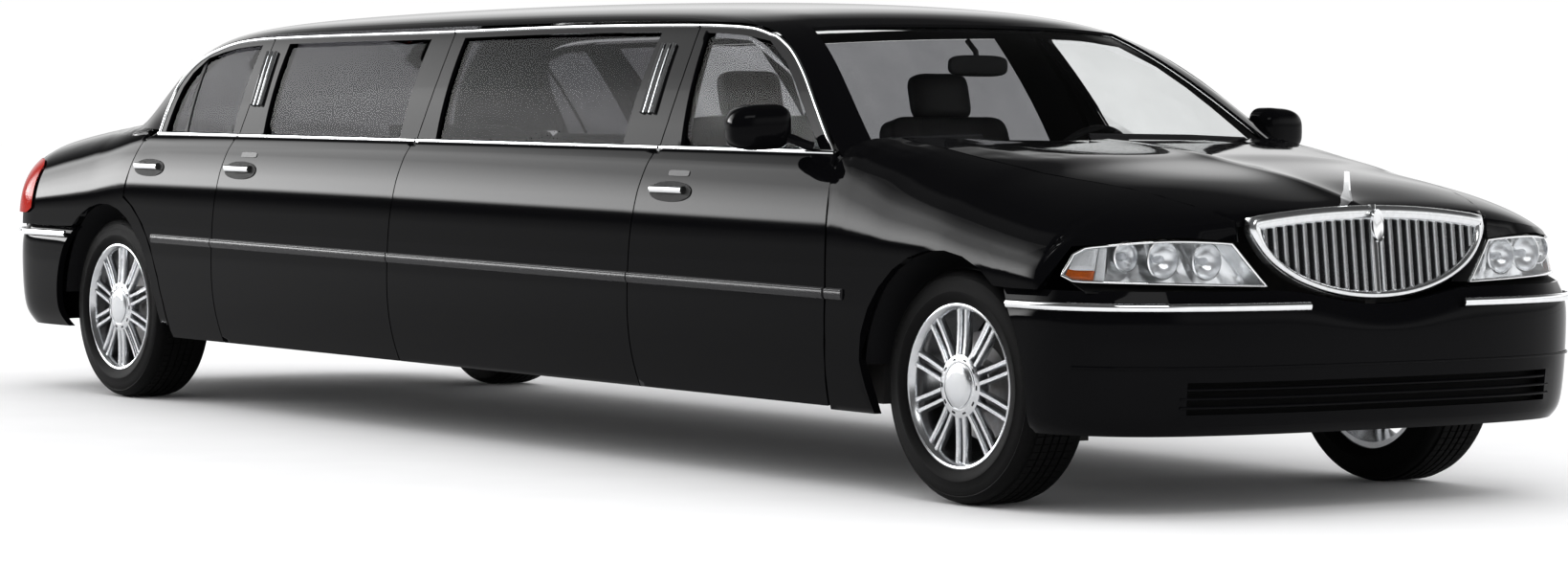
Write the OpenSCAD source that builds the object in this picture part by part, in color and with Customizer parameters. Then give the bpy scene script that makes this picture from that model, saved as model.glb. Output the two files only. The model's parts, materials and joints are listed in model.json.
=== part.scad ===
// Stretched six-door luxury saloon on a ladder frame, standing on its wheels.
// Millimetres. +X is forward, +Y is the left side, +Z is up. The origin is on
// the ground below the middle of the length. Body stations are measured from
// the front axle, and stations behind the long bay from the rear axle.

/* [Layout] */
// Distance between the two axle lines
wheelbase = 5150; // [5050:10:5350]
// Half of the body width at its widest height
half_width = 992; // [980:1:998]

/* [Wheels] */
// Tyre outer radius
tyre_r = 343; // [335:1:346]
// Tyre section width
tyre_w = 235; // [215:1:240]
// Height of the tyre wall above the rim lip
sidewall = 100; // [93:1:108]
// Number of spoke pairs in each rim
spoke_pairs = 10; // [7:1:11]
// Room between the tyre and the edge of its wheel opening
arch_gap = 51; // [49:1:57]

/* [Panels] */
// Open seam round each door and lid
seam = 6; // [5:0.5:7]
// Depth of a door below the window
door_t = 84; // [70:1:90]
// Depth of a window frame
frame_t = 40; // [34:1:44]
// Skin depth of hood, roof and other panels
skin_t = 26; // [20:1:30]
// Glass thickness
glass_t = 5; // [4:0.5:6]

/* [Grille] */
// Number of upright grille bars
grille_bars = 23; // [15:2:27]
// Width of one grille bar
bar_w = 12; // [9:0.5:14]

/* [Hidden] */
front_overhang = 820;
rear_overhang = 1040;
rx = -wheelbase;
rim_r = tyre_r - sidewall;
arch_r = tyre_r + arch_gap;
front_x = (front_overhang + wheelbase + rear_overhang) / 2 - front_overhang;
belt_z = 1000;
win_z = 1014;
rail = 30;
wide_z = 600;
lip = 54;
bead_z = 642;
taper = 26;
track_f = 805;
track_r = 815;
pin_y = track_f - 75;
rest = 0.4;

// Smooth curve through a short table of [position, value], positions rising
function seek(t, x, i = 0) = i >= len(t) - 2 || x <= t[i + 1][0] ? i : seek(t, x, i + 1);
function rise(t, i) =
    let (a = max(0, i - 1), b = min(len(t) - 1, i + 1))
    (t[b][1] - t[a][1]) / (t[b][0] - t[a][0]);
function curve(t, x) =
    let (i = seek(t, x), d = t[i + 1][0] - t[i][0],
        s = max(0, min(1, (x - t[i][0]) / d)), q = 1 - s)
    t[i][1] * q * q * (1 + 2 * s) + t[i + 1][1] * s * s * (3 - 2 * s)
        + d * s * q * (rise(t, i) * q - rise(t, i + 1) * s);
function mix(a, b, s) = a + (b - a) * s;
// Outline of a plate with rounded corners, about its centre
function rounded(w, h, r, n = 5) = [for (q = [0:3]) for (k = [0:n])
    let (a = 90 * (q + k / n), sx = q == 0 || q == 3 ? 1 : -1, sy = q < 2 ? 1 : -1)
    [sx * (w / 2 - r) + r * cos(a), sy * (h / 2 - r) + r * sin(a)]];

// Lower body: plan width, centre height and the roundness of the section
tail_x = rx - 590;
function plan(x, grow = 0) =
    x > 350 ? (half_width + grow) * pow(max(0, 1 - pow((x - 350) / (470 + grow), 3)), 1 / 3)
    : x < tail_x ? (half_width + grow) * pow(max(0, 1 - pow((tail_x - x) / (450 + grow), 2.5)), 1 / 2.5)
    : half_width + grow;
top_tab = [[rx - 1040, 900], [rx - 950, 945], [rx - 750, 985], [rx - 400, 1022], [rx + 200, 1058],
    [-546, 1060], [-430, 1044], [-300, 1036], [-20, 1010], [109, 989], [403, 944], [639, 886], [720, 858]];
flat_tab = [[rx - 1040, 4], [rx - 600, 6], [rx - 150, 10], [rx + 250, 15], [-546, 15], [-250, 7],
    [0, 3.8], [250, 3.3], [595, 2.9], [720, 2.5]];
drop_tab = [[rx - 1040, 3.4], [rx - 600, 3], [rx + 250, 2.4], [-546, 2.4], [-250, 3.2], [0, 3.8],
    [250, 3.3], [595, 2.9], [720, 2.5]];
function top(x) = curve(top_tab, x);
function skin_y(x, z) = z <= wide_z
    ? plan(x) - 70 * pow((wide_z - z) / 365, 2.6)
    : plan(x) * pow(max(0, 1 - pow(min(1, (z - wide_z) / (top(x) - wide_z)), curve(drop_tab, x))),
        1 / curve(flat_tab, x));
function skin_z(x, y) = wide_z + (top(x) - wide_z)
    * pow(max(0, 1 - pow(min(1, abs(y) / plan(x)), curve(flat_tab, x))), 1 / curve(drop_tab, x));

// Upper body side and the line where door frames meet the roof
function upper_y(z) = half_width - 84 - 0.385 * (z - belt_z) - 0.00043 * pow(z - belt_z, 2);
function side(x, z) = z < belt_z ? skin_y(x, z) : upper_y(z);
cant_tab = [[rx + 365, 1292], [rx + 422, 1318], [rx + 578, 1354], [rx + 854, 1370], [rx + 2069, 1388],
    [-2400, 1400], [-1798, 1402], [-1500, 1398], [-1314, 1388], [-1190, 1366]];
function cant(x) = curve(cant_tab, x);

// Upright seams between the side panels
seam_tab = [[235, -62], [413, -55], [595, -48], [746, -40], [872, -25], [1000, 0], [1130, -10],
    [1260, -38], [1400, -88]];
fore_tab = [[235, -606], [400, -562], [590, -545], [890, -562], [961, -576], [1000, -602],
    [1059, -677], [1144, -786], [1246, -928], [1320, -1062], [1366, -1190]];
aft_tab = [[1000, rx + 290], [1111, rx + 281], [1201, rx + 285], [1263, rx + 326], [1292, rx + 365]];
function pillar(x, z) = x + curve(seam_tab, z);
function fore(z) = curve(fore_tab, z);
function aft(z) = z > belt_z ? curve(aft_tab, z)
    : let (h = z - tyre_r, r = arch_r + lip + seam + 2.5)
        rx + max(h / tan(71), h < r ? sqrt(r * r - h * h) : 0);
post = [-1542, rx + 2140, rx + 900];

// Closed shell from an outer and an inner grid of points, open where keep says no
function wall(p, q, m) = [[q, p, m + p], [q, m + p, m + q]];
module slab(outer, inner, keep = function (i, j) true) {
    nu = len(outer) - 1;
    nv = len(outer[0]) - 1;
    m = (nu + 1) * (nv + 1);
    at = function (i, j) i * (nv + 1) + j;
    on = function (i, j) i >= 0 && j >= 0 && i < nu && j < nv && keep(i, j);
    tris = [for (i = [0:nu - 1], j = [0:nv - 1]) if (keep(i, j))
        let (a = at(i, j), b = at(i + 1, j), c = at(i + 1, j + 1), d = at(i, j + 1))
        each concat([[a, b, c], [a, c, d], [m + c, m + b, m + a], [m + d, m + c, m + a]],
            on(i, j - 1) ? [] : wall(a, b, m), on(i + 1, j) ? [] : wall(b, c, m),
            on(i, j + 1) ? [] : wall(c, d, m), on(i - 1, j) ? [] : wall(d, a, m))];
    polyhedron([for (r = concat(outer, inner)) each r], tris);
}
module left() {
    mirror([0, 1, 0]) children();
}
module pair() {
    children();
    left() children();
}
module car() {
    translate([front_x, 0, 0]) children();
}

// Side panels: columns run rearward, rows run up, the window block is left open
low_z = [250, 300, 380, 480, 590, 670, 730, 771, 870, 935, 985];
win_j = len(low_z);
up_n = 5;
function row_z(j, x) = j < win_j ? low_z[j]
    : j <= win_j + up_n ? mix(win_z, cant(x) - rail, (j - win_j) / up_n) : cant(x);
// Columns of a panel: front edge, window front, window rear, rear edge (functions of height),
// window columns, top stations of the four edges
function front_door() = [function (z) fore(z), function (z) fore(z) - 75,
    function (z) -1427 - 0.4 * (z - win_z), function (z) pillar(post[0], z) + seam, 5,
    [-1190, -1225, -1575, -1622]];
function bay() = [function (z) pillar(post[0], z), function (z) -1749 - 0.2 * (z - win_z),
    function (z) rx + 2262 - 0.34 * (z - win_z), function (z) pillar(post[1], z) + seam, 6,
    [-1625, -1822, rx + 2138, rx + 2060]];
function mid_door() = [function (z) pillar(post[1], z), function (z) rx + 2026 - 0.28 * (z - win_z),
    function (z) rx + 1075 - 0.36 * (z - win_z), function (z) pillar(post[2], z) + seam, 5,
    [rx + 2060, rx + 1925, rx + 945, rx + 830]];
function rear_door() = [function (z) pillar(post[2], z), function (z) rx + 852 - 0.27 * (z - win_z),
    function (z) aft(max(z, belt_z)) + 48, function (z) aft(z), 4,
    [rx + 825, rx + 757, rx + 430, rx + 365]];
function col_x(p, i, z) =
    let (n = p[4], e = max(z, win_z), f0 = p[0](win_z), r0 = p[3](win_z),
        s = i == 0 ? 0 : i == n + 2 ? 1
            : (mix(p[1](e), p[2](e), (i - 1) / n) - p[0](e)) / (p[3](e) - p[0](e)))
    mix(p[0](z), p[3](z), s);
function col_top(p, i) = i == 0 ? p[5][0] : i == p[4] + 2 ? p[5][3]
    : mix(p[5][1], p[5][2], (i - 1) / p[4]);
function panel_grid(p, deep, cut) = [for (i = [0:p[4] + 2]) [for (j = [0:win_j + up_n + 1])
    let (z = row_z(j, col_top(p, i)), x = col_x(p, i, z), y = side(x, z),
        t = j < win_j - 1 ? door_t : j == win_j - 1 ? (door_t + frame_t) / 2 : frame_t,
        dx = i == 0 ? -cut : i == p[4] + 2 ? cut : 0,
        dz = j == 0 ? cut : j == win_j + up_n + 1 ? -cut / 2 : 0)
    [x + dx * deep, deep * t - y, z + dz * deep]]];
function open_cell(p) = function (i, j) !(i >= 1 && i <= p[4] && j >= win_j && j < win_j + up_n);
module side_panel(p, cut = taper) {
    slab(panel_grid(p, 0, cut), panel_grid(p, 1, cut), open_cell(p));
}
module pane(p, sink = 12) {
    g = function (y) [for (i = [1:p[4] + 1]) [for (j = [win_j:win_j + up_n])
        let (z = row_z(j, col_top(p, i)), x = col_x(p, i, z),
            dx = i == 1 ? -rest : i == p[4] + 1 ? rest : 0,
            dz = j == win_j ? rest : j == win_j + up_n ? -rest : 0)
        [x + dx, y - side(x, z), z + dz]]];
    slab(g(sink), g(sink + glass_t));
}

// Hood, fender and deck seams in plan
hood_tab = [[-600, 752], [-158, 722], [-14, 702], [226, 650], [552, 560], [667, 505], [720, 470]];
deck_tab = [[rx - 1000, 660], [rx - 850, 700], [rx - 600, 715], [rx - 380, 720]];
function hood_y(x) = curve(hood_tab, x);
function hood_back(y) = -425 - 70 * pow(y / 720, 2);
function hood_front(y) = 706 - 14 * pow(y / 455, 2);
function lamp_x(y) = 350 + 385 * pow(1 - pow(min(1, y / 952), 3), 1 / 3);
function lamp_top(y) = 806 - 28 * max(0, 860 - y) / 360;
function brow_z(y) = min(lamp_top(y), skin_z(lamp_x(y), y) - 6);

// A column of a fender: up the side from the lower point, then over the shoulder to the seam
side_rows = 5;
over_rows = 5;
function foot_x(y) = -566 + 0.42 * (905 - y);
function fender_col(x0, z0, x1, z1, xt, yt, deep, edge = 0) =
    let (zk = edge == 1 ? 988 : edge == 2 ? 984 : max(z1 + 20, skin_z(xt, 0.955 * plan(xt))),
        n = side_rows + over_rows, yk = skin_y(edge == 1 ? -580 : mix(x1, xt, 0.5), zk))
    [for (j = [-1:n])
        let (low = j <= side_rows, over = (j - side_rows) / over_rows, yo = mix(yk, yt, over),
            zf = j < 0 ? z0 : mix(z1, zk, min(1, j / side_rows)), rear = aft(zf) - seam - 1,
            x = edge == 1 ? (low ? fore(zf) + seam + 3 : foot_x(yo))
                : edge == 2 && j >= 0 ? (low ? rear : mix(rear, xt, over))
                : j < 0 ? x0 : mix(x1, xt, max(0, j) / n),
            z = low ? zf : skin_z(x, yo), y = low ? skin_y(x, z) : yo)
        low ? [x, deep * skin_t - y, z] : [x, deep * skin_t * 0.6 * (1 - over) - y, z - deep * skin_t]];

// Front fender columns as [foot x, foot z, lip x, lip z, seam x]
function arch_pt(cx, r, a) = [cx + r * cos(a), tyre_r + r * sin(a)];
fender_list = concat(
    [for (s = [0, 0.5, 1]) let (x = mix(fore(600) + seam, -arch_r - 2, s))
        [mix(fore(240) + seam, -arch_r + 14, s), 240, x, 310, mix(-510, -460, s)]],
    [for (a = [172:-12.2:50]) let (p = arch_pt(0, arch_r, a), q = arch_pt(0, arch_r + lip, a))
        [p[0], p[1], q[0], q[1], mix(-440, 330, (172 - a) / 122)]],
    [for (x = [330, 390, 445]) [x, bead_z, x, bead_z + lip, mix(370, 470, (x - 330) / 115)]]);
// Columns over the lamp as [foot x, foot y, seam x]
brow_list = [for (y = [925, 880, 820, 740, 640, 550, 490])
    [lamp_x(y), y, mix(495, 700, pow((925 - y) / 435, 0.8))]];
function brow_col(b, deep) =
    let (x0 = b[0], y0 = b[1], xt = b[2], yt = hood_y(xt) + seam, n = side_rows + over_rows,
        t = deep * skin_t, back = t * (y0 > 500 ? 1 : 0.1))
    [for (j = [-1:n])
        let (s = pow(max(0, j) / n, 1.2), x = j < 0 ? x0 : mix(x0 - 14, xt, s),
            y = j < 0 ? y0 : mix(y0 - 4, yt, s), z = j < 0 ? brow_z(y0) : skin_z(x, y))
        [x - back * (1 - s), t * 0.3 * (1 - s) - y, z - (j < 0 ? 0 : t * (0.4 + 0.6 * s))]];
function fender_grid(deep) = concat(
    [for (i = [0:len(fender_list) - 1]) let (c = fender_list[i])
        fender_col(c[0], c[1], c[2], c[3], c[4], hood_y(c[4]) + seam, deep, i == 0 ? 1 : 0)],
    [for (b = brow_list) brow_col(b, deep)]);
function flip(g) = [for (i = [len(g) - 1:-1:0]) g[i]];
module front_fenders() color("black") car() pair() {
    slab(flip(fender_grid(0)), flip(fender_grid(1)));
}

// Roof shell rows as [edge x, edge z, centre x, centre z, shoulder share]
shell_rows = [[-585, 1003, -484, 1040, 0.9], [-669, 1059, -568, 1096, 0.88],
    [-778, 1144, -690, 1176, 0.87], [-920, 1246, -840, 1274, 0.86],
    [-1054, 1324, -985, 1356, 0.84], [-1175, 1370, -1090, 1404, 0.82],
    [-1306, 1396, -1190, 1441, 0.82], [-1500, 1406, -1400, 1469, 0.83], [-1900, 1410, -1850, 1485, 0.84],
    [-2500, 1408, -2500, 1490, 0.84], [rx + 1950, 1396, rx + 1950, 1486, 0.84],
    [rx + 1250, 1384, rx + 1250, 1471, 0.84], [rx + 805, 1378, rx + 750, 1452, 0.84],
    [rx + 578, 1363, rx + 450, 1430, 0.84], [rx + 414, 1326, rx + 240, 1403, 0.84],
    [rx + 318, 1270, rx + 80, 1326, 0.84], [rx + 277, 1203, rx - 90, 1234, 0.86],
    [rx + 272, 1111, rx - 260, 1124, 0.88], [rx + 279, 1021, rx - 400, 1034, 0.93]];
shell_cols = [0, 0.13, 0.26, 0.45, 0.7, 1];
function shell_pt(r, s) =
    let (q = 1 - s, ye = upper_y(r[1]), x = r[0] * q * q + r[2] * (1 - q * q),
        y = ye * (q * q + 2 * r[4] * s * q), z = mix(r[1], r[3], 1 - q * q))
    [x, y, z];
function shell_grid(deep) = [for (r = shell_rows) [for (k = [-5:5])
    let (s = shell_cols[5 - abs(k)], p = shell_pt(r, s), y = p[1] - deep * frame_t * (s < 0.2 ? 0.9 : 0))
    [p[0], sign(k) * y, p[2] - deep * skin_t * (s == 0 ? 0 : 0.3 + 0.7 * s)]]];
function shell_open(i, j) = (i < 5 && j >= 2 && j <= 7) || (i >= 14 && i < 18 && j >= 3 && j <= 6);
module roof_shell() color("black") car() {
    slab(shell_grid(0), shell_grid(1), function (i, j) !shell_open(i, j));
}
module screen(i0, i1, j0, j1, sink = 9) {
    g = function (d) [for (i = [i0:i1]) [for (k = [j0:j1])
        let (p = shell_pt(shell_rows[i], shell_cols[5 - abs(k)]),
            ex = i == i0 ? -1 : i == i1 ? 1 : 0, ey = k == j0 ? 1 : k == j1 ? -1 : 0)
        [p[0] + ex * 3 * rest, sign(k) * p[1] + ey * 4, p[2] - d]]];
    slab(g(sink), g(sink + glass_t));
}
module fixed_glass() color("gray") car() {
    screen(0, 5, -3, 3);
    screen(14, 18, -2, 2);
    pair() pane(bay());
}
module side_panels() color("black") car() pair() {
    side_panel(bay(), 0);
}

// Rear quarter columns as [foot x, foot z, lip x, lip z, seam x, seam y]; the lip runs on under the door
function shell_seam(s) =
    let (i = seek([for (c = shell_cols) [c, 0]], s), a = shell_cols[i], b = shell_cols[i + 1],
        p = mix(shell_pt(shell_rows[18], a), shell_pt(shell_rows[18], b), (s - a) / (b - a)))
    [p[0] - 0.7 * rest, p[1] + 0.7 * rest, p[2]];
crown_s = [0.068, 0.1, 0.13, 0.195, 0.26, 0.355];
lip_list = [for (a = [-6:11.2:72.4]) let (p = arch_pt(rx, arch_r, a), q = arch_pt(rx, arch_r + lip, a))
    [p[0], p[1], q[0], q[1], rx + 205, 900]];
crown_list = [for (k = [0:5]) let (a = mix(72.4, 130, k / 5), p = arch_pt(rx, arch_r, a),
        q = arch_pt(rx, arch_r + lip, a), t = shell_seam(crown_s[k]))
    [p[0], p[1], q[0], q[1], t[0], t[1]]];
tail_list = [for (k = [1:5]) let (x = mix(rx - 254, rx - 690, k / 5),
        t = k < 3 ? shell_seam(k == 1 ? 0.45 : 0.5) : [mix(rx - 260, rx - 700, (k - 2) / 3), 0])
    [x, bead_z, x, bead_z + lip, t[0], k < 3 ? t[1] : curve(deck_tab, t[0]) + seam]];
tail_a = 400;
function tail_face(y) = tail_x - tail_a * pow(1 - pow(min(1, y / 978), 2.5), 1 / 2.5);
// Columns over the tail lamp as [foot x, foot y, seam x]
rump_list = [for (y = [955, 930, 890, 830, 760])
    [tail_face(y), y, mix(rx - 720, rx - 905, pow((955 - y) / 195, 0.8))]];
function rump_col(b, deep) =
    let (x0 = b[0], y0 = b[1], xt = b[2], yt = curve(deck_tab, xt) + seam, n = side_rows + over_rows,
        t = deep * skin_t)
    [for (j = [-1:n])
        let (s = max(0, j) / n, x = j < 0 ? x0 : mix(x0 + 10, xt, s),
            y = j < 0 ? y0 : mix(y0 - 6, yt, s), z = j < 0 ? 872 : max(890, skin_z(x, y)))
        [x + t * (1 - s), t * 0.3 * (1 - s) - y, z - (j < 0 ? 0 : t * (0.4 + 0.6 * s))]];
function quarter_grid(deep) = concat(
    let (list = concat(lip_list, crown_list, tail_list), first = len(lip_list))
    [for (i = [0:len(list) - 1]) let (c = list[i])
        fender_col(c[0], c[1], c[2], c[3], c[4], c[5], deep, i == first ? 2 : 0)],
    [for (b = rump_list) rump_col(b, deep)]);
module quarter_panels() color("black") car() pair() {
    slab(quarter_grid(0), quarter_grid(1), function (i, j) i >= len(lip_list) || j == 0);
}

// Lids and cowl as grids across the car
function lid_grid(n, m, xf, xr, half, drop) = [for (i = [0:n]) [for (j = [-m:m])
    let (v = j / m, y0 = half(mix(xf(0), xr(0), i / n)) * v, x = mix(xf(abs(y0)), xr(abs(y0)), i / n),
        y = half(x) * v)
    [x, y, skin_z(x, y) - drop]]];
module hood() color("black") car() {
    g = function (d) lid_grid(12, 7, function (y) hood_front(y), function (y) hood_back(y),
        function (x) hood_y(x), d);
    slab(g(0), g(skin_t));
}
module cowl() color("dimgray") car() {
    g = function (d) [for (i = [0:1]) [for (j = [-6:6])
        let (v = abs(j) / 6, y = (hood_y(-500) + seam - 4) * j / 6,
            x = hood_back(abs(y)) - (i == 0 ? seam : 54 - 36 * pow(v, 1.5)))
        [x, y, skin_z(hood_back(abs(y)), y) - 8 - d - i * 8]]];
    slab(g(0), g(skin_t));
    slab(deck_grid(0), deck_grid(0.5 * skin_t));
}
// Filler between the lower edge of the rear glass and the trunk lid
function deck_grid(d) = [for (i = [0:1]) [for (k = [-5:5])
    let (e = shell_seam(mix(1, 0.5, abs(k) / 5)), x = rx - 411 + seam, y = 721 * abs(k) / 5)
    i == 0 ? [e[0], sign(k) * (e[1] - 2), e[2] - d] : [x, sign(k) * y, skin_z(x, y) - d]]];
module hood_ornament() color("silver") car() translate([636, 0, skin_z(636, 0) + rest]) {
    rotate([90, 0, 0]) translate([0, 0, -3]) linear_extrude(6)
        polygon([[-24, 6.8], [24, -5], [14, 30], [8, 84], [-6, 84], [-10, 30]]);
}
// Trunk lid: deck rows then tail-face rows as [x from the rear axle, z]
deck_rows = [[-411, 1], [-520, 1], [-640, 1], [-760, 1], [-850, 1], [-915, 1]];
tail_rows = [[-968, 915], [-985, 870], [-984, 800], [-978, 730], [-972, 672]];
function trunk_grid(deep) = concat(
    [for (r = deck_rows) [for (j = [-5:5])
        let (x = rx + r[0], y = curve(deck_tab, x) * j / 5, bow = r[0] > -600 ? 0 : 40 * pow(j / 5, 2))
        [x + bow, y, skin_z(x, y) - deep * skin_t]]],
    [for (r = tail_rows) [for (j = [-5:5])
        let (bow = 62 * pow(abs(j) / 5, 2.4))
        [rx + r[0] + bow + deep * skin_t, 655 * j / 5, r[1] - (r[1] > 900 ? deep * skin_t : 0)]]]);
module trunk_lid() color("black") car() {
    slab(trunk_grid(0), trunk_grid(1));
}

// Bumpers: columns round the plan, rows as [height, set back]
nose_rows = [[238, 46], [262, 22], [300, 10], [390, 2], [440, 0], [520, -2], [580, 0], [612, 14],
    [bead_z - 0.6, 30]];
nose_y = [0, 160, 320, 470, 600, 700, 780];
nose_x = [660, 590, 510, 430];
function nose_col(k, z, back) = k < len(nose_y)
    ? let (y = nose_y[k], u = pow(1 - pow(y / half_width, 3), 1 / 3))
        [350 + (470 - back) * u, y - back * 0.3 * y / 780]
    : k < len(nose_y) + len(nose_x)
        ? let (x = nose_x[k - len(nose_y)]) [x - back * 0.5, plan(x) - back * 0.8]
        : [sqrt(pow(arch_r + 4, 2) - pow(z - tyre_r, 2)), half_width - back];
function nose_grid(deep) =
    let (n = len(nose_y) + len(nose_x))
    [for (k = [-n:n]) [for (r = nose_rows)
        let (y = abs(k) < len(nose_y) ? nose_y[abs(k)] : 1000, z = r[0] - (r[0] > 570 ? scoop(y) : 0),
            c = nose_col(abs(k), z, r[1] + deep * skin_t),
            x = abs(k) == n ? nose_col(n, z, 0)[0] : c[0])
        [x, -sign(k) * c[1], z]]];
function scoop(y) = y > 440 ? 0 : max(0, bead_z - (816 - 222 * sqrt(1 - pow(y / 452, 2))));
module front_bumper() color("black") car() {
    n = len(nose_y) + len(nose_x);
    slab(nose_grid(0), nose_grid(1), function (i, j) !(i >= n - 5 && i < n + 5 && j == 2));
    for (k = [0:2])
        translate([724, 0, 318 + 26 * k]) cube([22, 1120, 9], center = true);
}
module front_support() color("dimgray") car() {
    wide = half_width - 142;
    face = 580 + rest;
    translate([face, -wide, 262]) cube([24, 2 * wide, 338]);
    for (y = [-300, 270])
        translate([face, y, 425]) cube([788 - face, 30, 30]);
    for (y = [-500, 485])
        translate([face, y, 300]) cube([713 - face - rest, 15, 86]);
    translate([face, -20, 590]) cube([742.8 - face, 40, 32]);
    pair() {
        translate([face, -580, 580]) cube([690 - face, 30, 20]);
        translate([640, -580, 580]) cube([50, 30, 76]);
    }
}
rear_rows = [[252, 60], [290, 26], [340, 10], [440, 2], [540, 0], [600, 4], [bead_z - 0.6, 26]];
rear_y = [0, 200, 400, 560, 690, 790, 870];
rear_x = [-790, -700, -610];
function back_col(k, z, back) = k < len(rear_y)
    ? let (y = rear_y[k], u = pow(1 - pow(y / half_width, 2.5), 1 / 2.5))
        [tail_x - (450 - back) * u, y - back * 0.3 * y / 870]
    : k < len(rear_y) + len(rear_x)
        ? let (x = rx + rear_x[k - len(rear_y)]) [x + back * 0.5, plan(x) - back * 0.8]
        : [rx - sqrt(pow(arch_r + 4, 2) - pow(z - tyre_r, 2)), half_width - back];
function back_grid(deep) =
    let (n = len(rear_y) + len(rear_x))
    [for (k = [-n:n]) [for (r = rear_rows)
        let (c = back_col(abs(k), r[0], r[1] + deep * skin_t),
            x = abs(k) == n ? back_col(n, r[0], 0)[0] : c[0])
        [x, sign(k) * c[1], r[0]]]];
module rear_bumper() color("black") car() {
    slab(back_grid(0), back_grid(1));
}

// Lamps: four-cornered patches on the rounded front and rear corners
function lens_grid(d, n, m) = [for (i = [0:n]) [for (j = [0:m])
    let (u = i / n, v = j / m, y = mix(mix(398, 500, v), mix(952, 912, v), u),
        z = mix(mix(652, 668, u), brow_z(y) - 6, v),
        x = 350 + (mix(400, 378, v) - d) * pow(1 - pow(min(1, y / mix(966, 944, v)), 3), 1 / 3))
    [x - d * 0.35, d * 0.55 * u - y, z]]];
module headlamp_lenses() color("white") car() pair() {
    slab(lens_grid(2, 10, 4), lens_grid(2 + glass_t, 10, 4));
}
// Lamp housings with two open bowls as [lens x, y, z] and a bulb in each
bowl_tab = [[677, 709, 728], [709, 575, 722]];
bowl_deep = 70;
module headlamps() color("silver") car() pair() {
    difference() {
        slab(lens_grid(2 + glass_t + rest, 10, 4), lens_grid(78, 10, 4));
        for (b = bowl_tab)
            translate([b[0] - bowl_deep, -b[1], b[2]]) rotate([0, 90, 0])
                cylinder(r1 = 18, r2 = 74, h = bowl_deep + 30, $fn = 48);
    }
    for (b = bowl_tab)
        translate([b[0] - bowl_deep - 8, -b[1], b[2]]) rotate([0, 90, 0]) {
            cylinder(r = 9, h = 40, $fn = 24);
            translate([0, 0, 40]) sphere(r = 13, $fn = 24);
        }
}
function tail_grid(d) = [for (i = [0:7]) [for (j = [0:3])
    let (y = mix(948, 690, pow(i / 7, 0.8)), z = mix(690, 863.5, j / 3))
    [tail_face(y) + d, d * 0.4 * (1 - i / 7) - y, z]]];
module tail_lamps() color("red") car() pair() {
    slab(tail_grid(0), tail_grid(22));
}

// Grille: shield outline, lower half an ellipse and the top a shallow arc
function shield(w, h, top, n = 22) = concat(
    [for (k = [0:n]) let (a = 180 + 180 * k / n) [w * cos(a), h * sin(a)]],
    [for (k = [1:5]) let (s = k / 6) [mix(w, -w, s), top * 4 * s * (1 - s)]]);
grille_tilt = 7;
function bar_outline(w, out) = concat([[-w / 2, 0]],
    [for (a = [180:30:360]) [w / 2 * cos(a), w / 2 * (1 + sin(a)) - out]], [[w / 2, 0]]);
module grille() color("silver") car()
    translate([718, 0, 826]) rotate([0, -grille_tilt, 0]) rotate([90, 0, 90]) {
    linear_extrude(34) difference() {
        polygon(shield(452, 222, 40));
        polygon(shield(424, 196, 16));
    }
    linear_extrude(42) difference() {
        polygon(shield(445, 216, 34));
        polygon(shield(430, 202, 21));
    }
    // Upright bars with round fronts, a taller rib in the middle and a plain boss on it
    for (k = [0:grille_bars - 1])
        let (y = 400 * (2 * k / (grille_bars - 1) - 1), b = -205 * sqrt(1 - pow(y / 438, 2)))
            translate([y, b, 8]) rotate([-90, 0, 0]) linear_extrude(18 - b) polygon(bar_outline(bar_w, 20));
    translate([0, -200, 8]) rotate([-90, 0, 0]) linear_extrude(236) polygon(bar_outline(26, 34));
    translate([0, -14, 30]) linear_extrude(20) polygon(rounded(46, 92, 21));
}

// Wheels: axis along Y, outer face toward -Y
hub_bore = 32;
module tyre() rotate([90, 0, 0]) rotate_extrude($fn = 96) {
    h = tyre_w / 2;
    polygon([[rim_r - 2, -h + 22], [rim_r + 8, -h + 8], [rim_r + 42, -h], [tyre_r - 30, -h + 6],
        [tyre_r - 8, -h + 24], [tyre_r, -h + 44], [tyre_r, h - 44], [tyre_r - 8, h - 24],
        [tyre_r - 30, h - 6], [rim_r + 42, h], [rim_r + 8, h - 8], [rim_r - 2, h - 22]]);
}
spoke_outline = [[-8.5, 0], [8.5, 0], [8.5, 22], [4.5, 30], [-4.5, 30], [-8.5, 22]];
module rim() rotate([90, 0, 0]) {
    h = tyre_w / 2;
    rotate_extrude($fn = 96)
        polygon([[rim_r - 20, -h + 22], [rim_r - 2.5, -h + 22], [rim_r - 2.5, h - 22], [rim_r - 2.5, h - 10],
            [rim_r - 12, h - 8], [rim_r - 26, h - 24], [rim_r - 20, h - 60]]);
    difference() {
        union() {
            translate([0, 0, -8]) cylinder(r = 165, h = 24, $fn = 72);
            translate([0, 0, -8]) cylinder(r = 92, h = h - 10, $fn = 60);
            translate([0, 0, h - 19]) cylinder(r1 = 64, r2 = 56, h = 15, $fn = 60);
            for (k = [0:spoke_pairs - 1])
                rotate(90 + 360 * k / spoke_pairs)
                    for (s = [-1, 1])
                        translate([80, s * 17, h - 52]) rotate([90, 0, 90])
                            linear_extrude(rim_r - 101) polygon(spoke_outline);
        }
        translate([0, 0, -20]) cylinder(r = hub_bore, h = h - 16, $fn = 48);
    }
}
function wheel_at(f, s) = [f ? front_x : front_x + rx, s * (f ? track_f : track_r), tyre_r];
module at_wheel(f, s) {
    translate(wheel_at(f, s)) rotate(s > 0 ? 180 : 0) children();
}
module rim_fr() color("silver") at_wheel(true, -1) rim();
module rim_fl() color("silver") at_wheel(true, 1) rim();
module rim_rr() color("silver") at_wheel(false, -1) rim();
module rim_rl() color("silver") at_wheel(false, 1) rim();
module tyre_fr() color("dimgray") at_wheel(true, -1) tyre();
module tyre_fl() color("dimgray") at_wheel(true, 1) tyre();
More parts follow.
